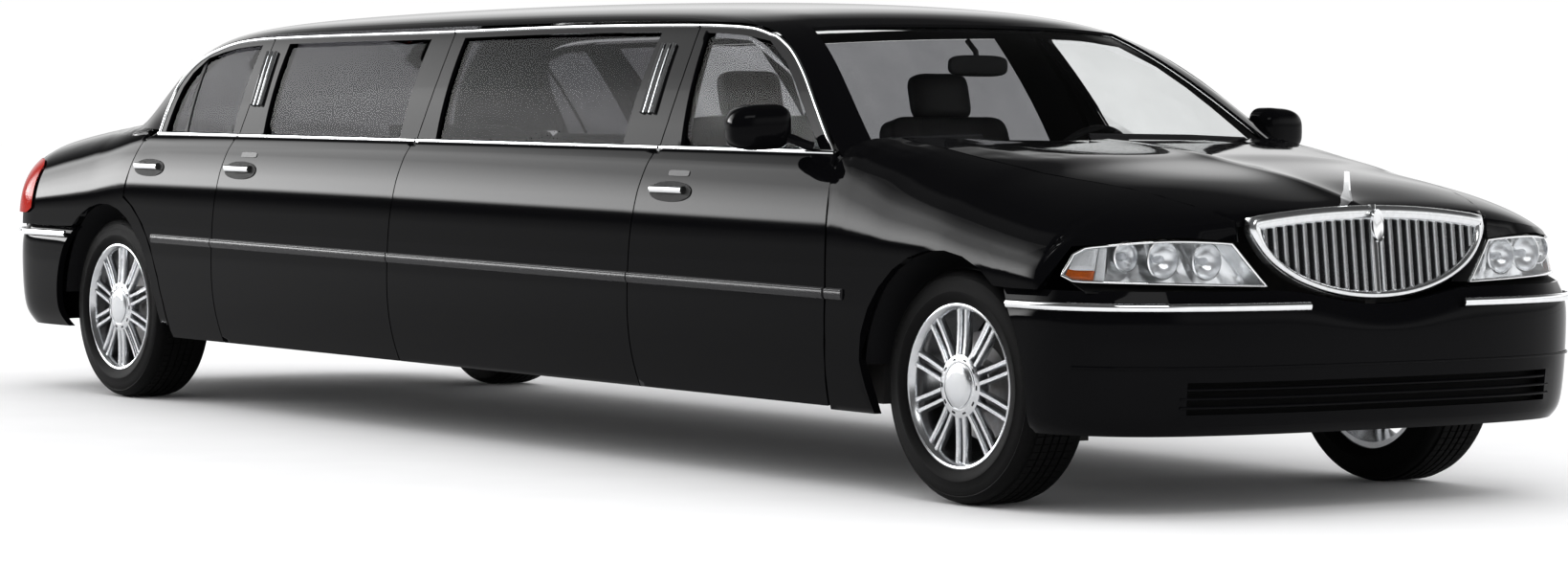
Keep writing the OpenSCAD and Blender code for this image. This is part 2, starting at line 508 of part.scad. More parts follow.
module tyre_rr() color("dimgray") at_wheel(false, -1) tyre();
module tyre_rl() color("dimgray") at_wheel(false, 1) tyre();

// Knuckle: spindle in the rim bore and an upright on the steering axis
module knuckle() {
    translate([0, -tyre_w / 2 + 42, 0]) rotate([-90, 0, 0])
        cylinder(r = hub_bore - rest, h = tyre_w / 2 + 30, $fn = 48);
    translate([-30, 66, -130]) cube([60, 34, 260]);
}
module knuckle_r() color("gray") at_wheel(true, -1) knuckle();
module knuckle_l() color("gray") at_wheel(true, 1) knuckle();
module front_arms() color("dimgray") car() pair() {
    foot = tyre_r - 172;
    head = tyre_r + 146;
    translate([-22, -pin_y - 30, foot]) cube([44, 300, 26]);
    translate([-22, -rail_y - 30, foot]) cube([44, 60, rail_z - rest - foot]);
    translate([0, -pin_y + 8, foot]) cylinder(r = 14, h = 42 - rest, $fn = 36);
    translate([-22, -pin_y - 30, head]) cube([44, 300, 26]);
    translate([-22, -rail_y - 30, rail_z + rail_h + rest]) cube([44, 60, head - rail_z - rail_h]);
    translate([0, -pin_y + 8, head - 16 + rest]) cylinder(r = 14, h = 20, $fn = 36);
}

// Chassis
rail_y = 470;
rail_w = 70;
rail_z = 300;
rail_h = 110;
tie_x = 500;
tie_r = 16;
pad_long = 120;
pad_h = 12;
module ladder_frame() color("dimgray") car() {
    pair() difference() {
        union() {
            translate([rx - 900, -rail_y - rail_w / 2, rail_z]) cube([wheelbase + 1480, rail_w, rail_h]);
            for (x = [-900, rx + 900])
                translate([x - pad_long / 2, -rail_y - rail_w / 2, rail_z - pad_h])
                    cube([pad_long, rail_w, rail_h]);
            translate([rx - 969, -rail_y - 35, rail_z + 50]) cube([80, 70, 20]);
        }
        translate([rx - 200, -rail_y - 60, rail_z - 1]) cube([400, 120, 81]);
        translate([tie_x, -rail_y, rail_z - 1]) cylinder(r = tie_r, h = rail_h + 2, $fn = 40);
    }
    for (x = [540, -700, -1900, rx + 1700, rx + 600, rx - 860])
        translate([x - 30, -rail_y + rail_w / 2 + rest, rail_z + rail_h - 23])
            cube([60, 2 * rail_y - rail_w - 2 * rest, 22]);
}
module floor_pan() color("dimgray") car() {
    floor_z = rail_z + rail_h + rest;
    bay_y = mix(skin_y(-2000, 380), skin_y(-2000, 480), (floor_z - 380) / 100) - door_t - rest;
    translate([rx + 480, -846, floor_z]) cube([wheelbase - 1050, 1692, 10]);
    translate([rx - 860, -560, floor_z]) cube([1330, 1120, 10]);
    pair() {
        translate([rx + 500, -838, 262]) cube([wheelbase - 950, 40, floor_z - rest - 262]);
        translate([post[1] + 60, -bay_y, floor_z]) cube([post[0] - post[1] - 200, bay_y - 846 - rest, 10]);
    }
    translate([-596, -700, floor_z + 10 + rest]) cube([26, 1400, 530]);
}
// Hinge posts behind the front edge of each door, with two leaves against the door's inner face
leaf_w = 60;
leaf_h = 50;
leaf_z = [670, 870];
post_y = half_width - 150;
post_t = 46;
module body_posts() color("dimgray") car() {
    foot = rail_z + rail_h + 10 + 2 * rest;
    pair() for (f = [fore(600), post[1] - 48, post[2] - 48]) {
        translate([f - 40 - leaf_w, -post_y + 0.5, foot]) cube([leaf_w, post_t, 940 - foot]);
        for (z = leaf_z)
            translate([f - 40 - leaf_w, door_t + rest - skin_y(f, z), z - leaf_h])
                cube([leaf_w, skin_y(f, z) - door_t - rest - post_y, leaf_h]);
    }
    // Hood brackets from the bulkhead and deck struts under the front edge of the trunk lid
    pair() {
        translate([-570 + rest, -640, 880]) cube([200, 40, 40]);
        translate([-500, -640, 900]) cube([18, 40, 108.5]);
        translate([-410, -640, 920]) cube([40, 40, skin_z(-370, 640) - skin_t - 2 * rest - 920]);
        translate([rx - 478, -552, foot])
            cube([36, 30, skin_z(rx - 478, 552) - skin_t - 2 * rest - foot]);
    }
}
module wheel_liners() color("dimgray") car() {
    liner_r = arch_r + 40;
    for (x = [0, rx])
        pair() {
            seat_y = skin_y(x, tyre_r + liner_r) - skin_t - rest;
            translate([x, -926, tyre_r]) rotate([-90, 0, 0]) difference() {
                cylinder(r = liner_r, h = x == 0 ? 380 : 270, $fn = 64);
                translate([0, 0, -1]) cylinder(r = liner_r - 6, h = 410, $fn = 64);
                translate([-600, -40, -1]) cube([1200, 800, 500]);
            }
            translate([x - 90, -seat_y, tyre_r + liner_r - 17]) cube([140, seat_y - 920, 4]);
        }
}
module engine_block() color("gray") car() {
    translate([-480, -300, rail_z + 10]) cube([760, 600, 550]);
    pair() translate([-120, -rail_y + rail_w / 2 + rest, rail_z + 40])
        cube([90, rail_y - rail_w / 2 - 300 - rest, 60]);
}
module rear_axle() color("dimgray") car() {
    translate([rx, 0, tyre_r]) {
        pair() translate([0, -track_r - tyre_w / 2 + 42, 0]) rotate([-90, 0, 0])
            cylinder(r = hub_bore - rest, h = track_r + tyre_w / 2 - 42, $fn = 48);
        sphere(r = 66, $fn = 48);
    }
    translate([rx + 60, 0, tyre_r]) rotate([0, 90, 0])
        cylinder(r = 36, h = wheelbase - 540 - rest, $fn = 40);
    pair() translate([rx, -rail_y, tyre_r]) cylinder(r = 32, h = rail_z + 80 - rest - tyre_r, $fn = 40);
}
module exhaust() color("gray") car() translate([0, 330, 218]) {
    translate([rx - 1000, 0, 0]) rotate([0, 90, 0]) cylinder(r = 28, h = wheelbase + 300, $fn = 40);
    translate([rx - 720, 0, 0]) rotate([0, 90, 0]) cylinder(r = 72, h = 420, $fn = 48);
    for (x = [rx - 860, rx + 600, -1900])
        translate([x, 0, 20]) cylinder(r = 6, h = rail_z + rail_h - 23 - 238 - rest, $fn = 24);
}
module fuel_tank() color("dimgray") car() {
    translate([rx - 820, -rail_y + rail_w / 2 + rest, 236]) cube([400, 580, 150]);
}

// Cabin
module dashboard() color("dimgray") car() {
    translate([-840, -780, 700]) rotate([90, 0, 90]) linear_extrude(244 - rest)
        polygon([[0, 0], [1560, 0], [1560, 200], [1460, 250], [100, 250], [0, 200]]);
}
module steering_wheel() color("dimgray") car() translate([-985, 380, 905]) rotate([0, -68, 0]) {
    rotate_extrude($fn = 64) translate([182, 0]) circle(r = 14, $fn = 24);
    cylinder(r = 62, h = 34, center = true, $fn = 40);
    for (a = [0, 180, 270])
        rotate(a) translate([50, -14, -7]) cube([126, 28, 14]);
    translate([0, 0, -145]) cylinder(r = 26, h = 130, $fn = 32);
}
seat_z = rail_z + rail_h + 10 + 2 * rest;
module seat(w) {
    translate([-270, -w / 2, seat_z]) cube([540, w, 150]);
    translate([-262, -w / 2, seat_z + 150 + rest]) rotate([0, -14, 0]) {
        cube([130, w, 540]);
        translate([18, w / 2 - 130, 540 + rest]) cube([95, 260, 150]);
    }
}
module front_seats() color("tan") car() {
    for (y = [-390, 390])
        translate([-1420, y, 0]) seat(520);
}
module lounge_seats() color("tan") car() {
    translate([rx + 490, -640, seat_z]) cube([510, 1280, 150]);
    translate([rx + 498, -640, seat_z + 150 + rest]) rotate([0, -14, 0]) cube([120, 1280, 480]);
    translate([rx + 1100, 360, seat_z]) cube([1900, 360, 150]);
    translate([rx + 1100, 640, seat_z + 150 + rest]) cube([1900, 80, 380]);
}
module wipers() color("dimgray") car() for (k0 = [-3, 0]) {
    g = function (d) [for (f = [0.3, 0.4]) [for (k = [k0:k0 + 2])
        let (c = shell_cols[5 - abs(k)], p = shell_pt(shell_rows[0], c), q = shell_pt(shell_rows[1], c))
        [mix(p[0], q[0], f), sign(k) * mix(p[1], q[1], f), mix(p[2], q[2], f) + d]]];
    slab(g(4), g(-8.6));
}

module door_front_r() color("black") car() side_panel(front_door());
module door_front_l() color("black") car() left() side_panel(front_door());
module door_mid_r() color("black") car() side_panel(mid_door());
module door_mid_l() color("black") car() left() side_panel(mid_door());
module door_rear_r() color("black") car() side_panel(rear_door());
module door_rear_l() color("black") car() left() side_panel(rear_door());
module glass_front_r() color("gray") car() pane(front_door());
module glass_front_l() color("gray") car() left() pane(front_door());
module glass_mid_r() color("gray") car() pane(mid_door());
module glass_mid_l() color("gray") car() left() pane(mid_door());
module glass_rear_r() color("gray") car() pane(rear_door());
module glass_rear_l() color("gray") car() left() pane(rear_door());
// Mirror: flat at the back for the glass, domed toward the front
mirror_plan = [[-50, -96], [-10, -96], [20, -86], [42, -52], [50, -6], [46, 34], [34, 60], [8, 74],
    [-50, 74]];
module mirror_body() car() {
    translate([-800, -half_width - 30, 1066]) rotate([0, 0, -8]) intersection() {
        translate([0, 0, -64]) linear_extrude(128) polygon(mirror_plan);
        translate([-60, -11, 0]) rotate([90, 0, 90]) linear_extrude(120) polygon(rounded(170, 128, 46));
    }
    translate([-776, 2 - half_width, 1030]) cube([104, half_width - 2 - upper_y(1030) - rest, 26]);
}
module mirror_r() color("black") mirror_body();
module mirror_l() color("black") left() mirror_body();

ladder_frame();
floor_pan();
body_posts();
wheel_liners();
front_fenders();
cowl();
roof_shell();
quarter_panels();
side_panels();
front_support();
front_bumper();
rear_bumper();
grille();
headlamps();
headlamp_lenses();
tail_lamps();
fixed_glass();
wipers();
dashboard();
steering_wheel();
front_seats();
lounge_seats();
engine_block();
front_arms();
rear_axle();
exhaust();
fuel_tank();
hood();
hood_ornament();
trunk_lid();
door_front_r();
door_front_l();
door_mid_r();
door_mid_l();
door_rear_r();
door_rear_l();
glass_front_r();
glass_front_l();
glass_mid_r();
glass_mid_l();
glass_rear_r();
glass_rear_l();
mirror_r();
mirror_l();
knuckle_r();
knuckle_l();
rim_fr();
rim_fl();
rim_rr();
rim_rl();
tyre_fr();
tyre_fl();
tyre_rr();
tyre_rl();
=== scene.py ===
import json
import math
import bmesh
import bpy
from mathutils import Matrix, Vector


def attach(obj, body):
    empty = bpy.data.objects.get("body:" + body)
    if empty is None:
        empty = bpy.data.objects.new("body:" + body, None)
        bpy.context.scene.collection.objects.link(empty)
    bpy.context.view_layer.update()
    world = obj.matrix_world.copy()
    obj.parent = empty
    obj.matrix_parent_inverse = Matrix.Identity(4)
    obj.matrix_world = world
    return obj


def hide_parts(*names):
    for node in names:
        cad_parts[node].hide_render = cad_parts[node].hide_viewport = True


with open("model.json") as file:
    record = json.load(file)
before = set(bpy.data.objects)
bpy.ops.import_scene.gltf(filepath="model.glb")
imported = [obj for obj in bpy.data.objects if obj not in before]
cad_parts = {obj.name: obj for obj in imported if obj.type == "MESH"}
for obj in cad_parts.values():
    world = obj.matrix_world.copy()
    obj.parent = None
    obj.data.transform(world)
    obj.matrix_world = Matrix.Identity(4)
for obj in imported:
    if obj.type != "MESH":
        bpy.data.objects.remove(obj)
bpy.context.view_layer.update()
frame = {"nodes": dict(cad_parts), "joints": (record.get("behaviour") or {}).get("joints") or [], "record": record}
nodes = frame["nodes"]
joints = {j["name"]: j for j in frame["joints"]}
bodyOf = {n: b for b, names in frame["record"]["behaviour"]["bodies"].items() for n in names}
frontAxle = Vector(joints["wheel_fr_spin"]["pos_m"])
rearAxle = Vector(joints["wheel_rr_spin"]["pos_m"])
print("frame loaded:", len(nodes), "nodes")

# Body form, in millimetres from the front axle, as the part's own panels follow it
rear = (rearAxle.x - frontAxle.x) * 1000
form = {
    "halfWidth": 992, "wideZ": 600, "beltZ": 1000, "noseX": 350, "noseLong": 470,
    "tailX": rear - 590, "tailLong": 450,
    "top": [(rear - 1040, 900), (rear - 950, 945), (rear - 750, 985), (rear - 400, 1022), (rear + 200, 1058),
            (-546, 1060), (-430, 1044), (-300, 1036), (-20, 1010), (109, 989), (403, 944), (639, 886),
            (720, 858)],
    "flat": [(rear - 1040, 4), (rear - 600, 6), (rear - 150, 10), (rear + 250, 15), (-546, 15), (-250, 7),
             (0, 3.8), (250, 3.3), (595, 2.9), (720, 2.5)],
    "drop": [(rear - 1040, 3.4), (rear - 600, 3), (rear + 250, 2.4), (-546, 2.4), (-250, 3.2), (0, 3.8),
             (250, 3.3), (595, 2.9), (720, 2.5)],
    "cant": [(rear + 365, 1292), (rear + 422, 1318), (rear + 578, 1354), (rear + 854, 1370),
             (rear + 2069, 1388), (-2400, 1400), (-1798, 1402), (-1500, 1398), (-1314, 1388), (-1190, 1366)],
    "fore": [(235, -606), (400, -562), (590, -545), (890, -562), (961, -576), (1000, -602),
             (1059, -677), (1144, -786), (1246, -928), (1320, -1062), (1366, -1190)],
    "aft": [(1000, rear + 290), (1111, rear + 281), (1201, rear + 285), (1263, rear + 326),
            (1292, rear + 365)],
    "posts": (-1542, rear + 2140, rear + 900),
}


def curve(table, x):  # smooth line through a short table
    i = 0
    while i < len(table) - 2 and x > table[i + 1][0]:
        i += 1

    def rise(k):
        a, b = max(0, k - 1), min(len(table) - 1, k + 1)
        return (table[b][1] - table[a][1]) / (table[b][0] - table[a][0])
    span = table[i + 1][0] - table[i][0]
    s = max(0, min(1, (x - table[i][0]) / span))
    q = 1 - s
    ends = table[i][1] * q * q * (1 + 2 * s) + table[i + 1][1] * s * s * (3 - 2 * s)
    return ends + span * s * q * (rise(i) * q - rise(i + 1) * s)


def plan(x):
    if x > form["noseX"]:
        s, power = (x - form["noseX"]) / form["noseLong"], 3
    elif x < form["tailX"]:
        s, power = (form["tailX"] - x) / form["tailLong"], 2.5
    else:
        return form["halfWidth"]
    return form["halfWidth"] * max(0, 1 - s ** power) ** (1 / power)


def skinY(x, z):
    if z <= form["wideZ"]:
        return plan(x) - 70 * ((form["wideZ"] - z) / 365) ** 2.6
    s = min(1, (z - form["wideZ"]) / (curve(form["top"], x) - form["wideZ"]))
    return plan(x) * max(0, 1 - s ** curve(form["drop"], x)) ** (1 / curve(form["flat"], x))


def skinZ(x, y):
    s = min(1, abs(y) / max(1, plan(x)))
    tall = curve(form["top"], x) - form["wideZ"]
    return form["wideZ"] + tall * max(0, 1 - s ** curve(form["flat"], x)) ** (1 / curve(form["drop"], x))


def upperY(z):
    d = z - form["beltZ"]
    return form["halfWidth"] - 84 - 0.385 * d - 0.00043 * d * d


def sideY(x, z):
    return skinY(x, z) if z < form["beltZ"] else upperY(z)


def at(x, y, z):
    return Vector((frontAxle.x + x / 1000, y / 1000, z / 1000))


def onSide(x, z, hand, out=0):
    return at(x, hand * (sideY(x, z) + out), z)


def sideNormal(x, z, hand):
    up = (sideY(x, z + 5) - sideY(x, z - 5)) / 10
    along = (sideY(x + 5, z) - sideY(x - 5, z)) / 10
    return Vector((-along, hand, -up)).normalized()


def spread(a, b, n):
    return [a + (b - a) * k / n for k in range(n + 1)]


# Finishes: each has its own grain or mottle from noise on the piece
def finish(name, base, second=None, rough=(0.3, 0.4), grain=40, bump=0.0, metal=0.0, detail=4, **sockets):
    mat = bpy.data.materials.new(name)
    mat.use_nodes = True
    tree = mat.node_tree
    bsdf = tree.nodes["Principled BSDF"]
    coords = tree.nodes.new("ShaderNodeTexCoord")
    noise = tree.nodes.new("ShaderNodeTexNoise")
    noise.inputs["Scale"].default_value = grain
    noise.inputs["Detail"].default_value = detail
    tree.links.new(coords.outputs["Object"], noise.inputs["Vector"])
    ramp = tree.nodes.new("ShaderNodeValToRGB")
    ramp.color_ramp.elements[0].position = 0.3
    ramp.color_ramp.elements[1].position = 0.7
    ramp.color_ramp.elements[0].color = (*base, 1)
    ramp.color_ramp.elements[1].color = (*(second or [c * 0.8 for c in base]), 1)
    tree.links.new(noise.outputs["Fac"], ramp.inputs["Fac"])
    tree.links.new(ramp.outputs["Color"], bsdf.inputs["Base Color"])
    spreadNode = tree.nodes.new("ShaderNodeMapRange")
    spreadNode.inputs["To Min"].default_value = rough[0]
    spreadNode.inputs["To Max"].default_value = rough[1]
    tree.links.new(noise.outputs["Fac"], spreadNode.inputs["Value"])
    tree.links.new(spreadNode.outputs["Result"], bsdf.inputs["Roughness"])
    bsdf.inputs["Metallic"].default_value = metal
    if bump:
        height = tree.nodes.new("ShaderNodeBump")
        height.inputs["Strength"].default_value = bump
        height.inputs["Distance"].default_value = 0.002
        tree.links.new(noise.outputs["Fac"], height.inputs["Height"])
        tree.links.new(height.outputs["Normal"], bsdf.inputs["Normal"])
    for socket, value in sockets.items():
        bsdf.inputs[socket.replace("_", " ")].default_value = value
    return mat


paint = finish("blackPaint", (0.0015, 0.0015, 0.0017), (0.0025, 0.0025, 0.003), (0.03, 0.06), 900, IOR=1.12)
chrome = finish("brightChrome", (0.86, 0.87, 0.88), (0.80, 0.81, 0.82), (0.04, 0.1), 25, metal=1.0)
satinChrome = finish("satinChrome", (0.78, 0.79, 0.80), (0.70, 0.71, 0.72), (0.16, 0.24), 60, metal=1.0)
polished = finish("polishedAlloy", (0.60, 0.61, 0.62), (0.50, 0.51, 0.53), (0.18, 0.28), 30, metal=1.0)
darkTrim = finish("blackPlastic", (0.008, 0.008, 0.009), (0.013, 0.013, 0.014), (0.45, 0.6), 220, 0.15,
                  Specular_IOR_Level=0.12)
# Near-black matte finish for the handle cups, the slots under the lamps and trunk lid and the intake back: painted
# shade of recesses and openings
shadeBlack = finish("paintedShadeBlack", (0.002, 0.002, 0.002), (0.004, 0.004, 0.004), (0.5, 0.7), 90,
                   Specular_IOR_Level=0.1)
rubber = finish("tyreRubber", (0.0015, 0.0015, 0.0016), (0.003, 0.003, 0.003), (0.55, 0.75), 140, 0.2,
                Specular_IOR_Level=0.06)
greyStrip = finish("greyMoulding", (0.02, 0.02, 0.021), (0.028, 0.028, 0.029), (0.2, 0.3), 120,
                   Specular_IOR_Level=0.1)
chassisBlack = finish("chassisBlack", (0.02, 0.02, 0.021), (0.035, 0.033, 0.031), (0.5, 0.7), 18, 0.1,
                      Specular_IOR_Level=0.15)
steel = finish("plainSteel", (0.36, 0.36, 0.37), (0.28, 0.27, 0.26), (0.3, 0.5), 30, 0.05, 1.0)
leather = finish("greyLeather", (0.030, 0.030, 0.032), (0.045, 0.044, 0.045), (0.4, 0.55), 350, 0.35,
                 Specular_IOR_Level=0.2)
carpet = finish("darkCarpet", (0.015, 0.015, 0.016), (0.03, 0.03, 0.031), (0.85, 0.95), 600, 0.6,
                Specular_IOR_Level=0.05)
tint = finish("tintedGlass", (0.24, 0.24, 0.25), (0.21, 0.21, 0.22), (0.0, 0.02), 6,
              Transmission_Weight=1.0, IOR=1.07)
clearGlass = finish("screenGlass", (0.88, 0.89, 0.89), (0.84, 0.85, 0.85), (0.0, 0.02), 6,
                    Transmission_Weight=1.0, IOR=1.07)
lensGlass = finish("lampLens", (0.96, 0.97, 0.98), (0.92, 0.93, 0.94), (0.0, 0.03), 20,
                   Transmission_Weight=1.0, IOR=1.2)
frosted = finish("turnLens", (0.85, 0.86, 0.87), (0.75, 0.76, 0.77), (0.3, 0.5), 260, 0.5, metal=0.3)
amber = finish("amberReflector", (0.62, 0.13, 0.01), (0.42, 0.07, 0.005), (0.15, 0.3), 300, 0.4)
tailRed = finish("tailLens", (0.42, 0.02, 0.012), (0.3, 0.012, 0.008), (0.06, 0.14), 160, 0.15, IOR=1.1)
bowl = finish("lampBowl", (0.95, 0.955, 0.96), (0.86, 0.87, 0.88), (0.26, 0.36), 40, metal=1.0)
glow = finish("bulbGlass", (0.75, 0.77, 0.8), (0.6, 0.62, 0.65), (0.05, 0.1), 80)
print("finishes made")


# Making and placing pieces
def finished(name, bm, body, materials, standsFor=(), sharp=35):
    mesh = bpy.data.meshes.new(name)
    bm.to_mesh(mesh)
    bm.free()
    piece = bpy.data.objects.new(name, mesh)
    bpy.context.scene.collection.objects.link(piece)
    for mat in materials:
        mesh.materials.append(mat)
    mesh.polygons.foreach_set("use_smooth", [True] * len(mesh.polygons))
    mesh.set_sharp_from_angle(angle=math.radians(sharp))
    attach(piece, body)
    if standsFor:
        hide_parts(*standsFor)
    return piece


def copyNode(node):
    bm = bmesh.new()
    bm.from_mesh(nodes[node].data)
    bmesh.ops.remove_doubles(bm, verts=bm.verts[:], dist=0.0002)
    return bm


def offBody(co, sink):  # how far a point is from the body's outer form
    x, y, z = (co.x - frontAxle.x) * 1000, abs(co.y) * 1000, co.z * 1000
    gapY = y - (sideY(x, z) - sink)
    gapZ = z - skinZ(x, y) if z < 1070 else 99
    return min(abs(gapY), abs(gapZ))


crease = {"height": 952, "deep": 2.2, "soft": 26, "from": -60, "fade": 300, "to": rear + 150}


def fold(x, z):  # shallow shoulder line below the belt
    ahead, behind = ((crease["from"] - x) / crease["fade"], (x - crease["to"]) / crease["fade"])
    near = min(1, max(0, ahead)) * min(1, max(0, behind))
    lean = crease["height"] - max(0, x + 560) * 0.04
    return crease["deep"] * near * math.exp(-abs(z - lean) / crease["soft"])


spine = {"tall": 7, "soft": 60}


def ontoBody(vert, sink):
    x, y, z = (vert.co.x - frontAxle.x) * 1000, vert.co.y * 1000, vert.co.z * 1000
    hand = 1 if y > 0 else -1
    normal = vert.normal
    if z > 1000 and abs(y) > 500 or abs(normal.y) > normal.z:
        if z < 1000 or sink or abs(abs(y) - sideY(x, z)) < 9:
            vert.co = onSide(x, z, hand, fold(x, z) - sink)
    else:
        ridge = spine["tall"] * math.exp(-abs(y) / spine["soft"]) if x > -500 else 0
        vert.co = at(x, y, skinZ(x, y) + ridge)


# Where the tail lens covers the quarter panels, with heights and the inner end in metres
lampPocket = {"lip": rear - 700, "lens": form["tailX"] - 60, "lipFoot": 0.68, "foot": 0.7,
              "top": 0.892, "inner": 0.7}


def behindLens(face, lip):
    c = face.calc_center_median()
    if lip and c.x < at(lampPocket["lip"], 0, 0).x and c.z > lampPocket["lipFoot"]:
        return True
    covered = lampPocket["foot"] < c.z < lampPocket["top"] and abs(c.y) > lampPocket["inner"]
    return covered and c.x < at(lampPocket["lens"], 0, 0).x


def bodySkin(node, materials, sink=0, cuts=3):
    bm = copyNode(node)
    mark = bm.faces.layers.int.new("outer")
    folded = [f for f in bm.faces if abs(f.normal.y) > 0.2 and f.normal.y * f.verts[0].co.y < 0
              and all(offBody(v.co, sink) < 3 for v in f.verts)]
    bmesh.ops.delete(bm, geom=folded, context="FACES_ONLY")
    outer = []
    for face in bm.faces:
        facing = max(face.normal.z, face.normal.y * (1 if face.verts[0].co.y > 0 else -1))
        face.material_index = 0 if facing > -0.2 else len(materials) - 1
        if facing > 0.2 and all(offBody(v.co, sink) < 3 for v in face.verts):
            outer.append(face)
            face[mark] = 1
    if node == "quarter_panels":  # what lies behind the tail lamps gives way to the lens
        hidden = [f for f in bm.faces if behindLens(f, not f[mark])]
        bmesh.ops.delete(bm, geom=hidden, context="FACES_ONLY")
        outer = [f for f in outer if f.is_valid]
    edges = list({e for f in outer for e in f.edges})
    bmesh.ops.subdivide_edges(bm, edges=edges, cuts=cuts, use_grid_fill=True)
    bm.normal_update()
    for vert in {v for f in bm.faces if f[mark] for v in f.verts}:
        ontoBody(vert, sink)
    bmesh.ops.triangulate(bm, faces=[f for f in bm.faces if len(f.verts) > 4])
    bm.normal_update()
    return finished(node + "_skin", bm, bodyOf[node], materials, (node,), 38)


def softSkin(node, materials, levels=2, sharp=40, split=None):
    bm = copyNode(node)
    for face in bm.faces:  # faces ahead of split take the second finish
        face.material_index = 0 if split is None or face.calc_center_median().x < split else 1
    bmesh.ops.join_triangles(bm, faces=bm.faces[:], angle_face_threshold=math.radians(30),
                             angle_shape_threshold=math.radians(70))
    creases = bm.edges.layers.float.new("crease_edge")
    for edge in bm.edges:
        if len(edge.link_faces) == 2 and edge.calc_face_angle() > math.radians(sharp):
            edge[creases] = 1.0
    piece = finished(node + "_skin", bm, bodyOf[node], materials, (node,), sharp)
    smooth = piece.modifiers.new("smooth", "SUBSURF")
    smooth.levels = smooth.render_levels = levels
    return piece


for side in "rl":
    for door in ("front", "mid", "rear"):
        bodySkin(f"door_{door}_{side}", [paint, darkTrim])
        bodySkin(f"glass_{door}_{side}", [clearGlass if door == "front" else tint], 12)
for node in ("side_panels", "front_fenders", "quarter_panels", "hood"):
    bodySkin(node, [paint, darkTrim])
for node in ("roof_shell", "trunk_lid", "front_bumper", "rear_bumper"):
    softSkin(node, [paint])
softSkin("fixed_glass", [tint, clearGlass], split=at(-1300, 0, 0).x)
print("body skins done")


# Strips and mouldings follow a line on the body with one cross-section
def sweep(bm, path, normals, profile, closed=False):
    rings, last = [], len(path) - 1
    for i, point in enumerate(path):
        if closed:
            before, after = path[i - 1], path[(i + 1) % len(path)]
        else:
            before, after = path[max(i - 1, 0)], path[min(i + 1, last)]
        along = (after - before).normalized()
        out = (normals[i] - along * normals[i].dot(along)).normalized()
        across = along.cross(out)
        ring = [bm.verts.new(point + across * (u / 1000) + out * (v / 1000)) for u, v in profile]
        rings.append([bm.edges.new((ring[k], ring[k - 1])) for k in range(len(ring))])
    for a, b in zip(rings, rings[1:] + (rings[:1] if closed else [])):
        bmesh.ops.bridge_loops(bm, edges=a + b)
    if not closed:
        for end in (rings[0], rings[-1]):
            bmesh.ops.edgeloop_fill(bm, edges=end)
    bmesh.ops.recalc_face_normals(bm, faces=bm.faces[:])


def oval(wide, tall, n=10, low=-2):  # half-round section standing on the skin
    arc = [(wide / 2 * math.cos(math.pi * k / n), tall * math.sin(math.pi * k / n)) for k in range(n + 1)]
    return [(wide / 2, low)] + arc + [(-wide / 2, low)]


def sideStrip(bm, points, hand, profile):  # points are (x, z) on the side
    sweep(bm, [onSide(x, z, hand) for x, z in points], [sideNormal(x, z, hand) for x, z in points], profile)


def postX(k, z):
    lean = [(235, -62), (413, -55), (595, -48), (746, -40), (872, -25), (1000, 0), (1130, -10),
            (1260, -38), (1400, -88)]
    return form["posts"][k] + curve(lean, z)


trimSize = {"beltZ": 1006, "belt": (17, 7), "line": (11, 6), "lineIn": 7, "mouldTall": 34, "mouldOut": 9,
            "bright": (8, 4)}


def mouldZ(x):
    return 590 + (x + 545) / (rear + 545) * 30


def edgePath(table, z0, z1, n, inset):  # a door's slanted edge, as (x, z)
    return [(curve(table, z) + inset, z) for z in spread(z0, z1, n)]


doorRuns = {  # body, x of front and rear ends along the belt, top line ends
    "front_door": (-612, postX(0, 1006) + 6, -1190, -1620),
    "body": (postX(0, 1006), postX(1, 1006) + 6, -1627, rear + 2064),
    "mid_door": (postX(1, 1006), postX(2, 1006) + 6, rear + 2058, rear + 832),
    "rear_door": (postX(2, 1006), rear + 288, rear + 826, rear + 368),
}
for hand, side in ((-1, "r"), (1, "l")):
    for run, (x0, x1, t0, t1) in doorRuns.items():
        body = run if run == "body" else f"{run}_{side}"
        bm = bmesh.new()
        beltLine = [(x, trimSize["beltZ"]) for x in spread(x0 - 2, x1 + 2, 24)]
        sideStrip(bm, beltLine, hand, oval(*trimSize["belt"]))
        topLine = [(x, curve(form["cant"], x) - trimSize["lineIn"]) for x in spread(t0, t1, 24)]
        if run == "front_door":
            topLine = edgePath(form["fore"], 1008, 1357, 22, -9) + topLine[1:]
        if run == "rear_door":
            topLine = topLine[:-1] + edgePath(form["aft"], 1284, 1008, 14, 8)
        sideStrip(bm, topLine, hand, oval(*trimSize["line"]))
        finished(f"window_chrome_{run}_{side}", bm, body, [chrome])
mouldRuns = {"body_front": (-455, -537), "front_door": (-549, postX(0, 595) + 7),
             "body": (postX(0, 595), postX(1, 605) + 7), "mid_door": (postX(1, 605), postX(2, 612) + 7),
             "rear_door": (postX(2, 612), rear + 400)}
for hand, side in ((-1, "r"), (1, "l")):
    for run, (x0, x1) in mouldRuns.items():
        body = "body" if run.startswith("body") else f"{run}_{side}"
        points = [(x, mouldZ(x)) for x in spread(x0, x1, 16)]
        bm = bmesh.new()
        sideStrip(bm, points, hand, oval(trimSize["mouldTall"], trimSize["mouldOut"]))
        finished(f"moulding_{run}_{side}", bm, body, [greyStrip])
        bm = bmesh.new()
        bright = [(x, z + trimSize["mouldTall"] * 0.33) for x, z in points]
        wide, tall = trimSize["bright"]
        sideStrip(bm, bright, hand, [(u, v + 5) for u, v in oval(wide, tall)])
        finished(f"moulding_line_{run}_{side}", bm, body, [greyStrip])
print("side trim done")

# Bumper strips round the nose and tail
bumperStrip = {"frontZ": 598, "rearZ": 612, "inner": 300, "section": (24, 9)}


def noseLine(y, z, back=0):
    return at(form["noseX"] + (form["noseLong"] - back) * (1 - (abs(y) / 992) ** 3) ** (1 / 3), y, z)


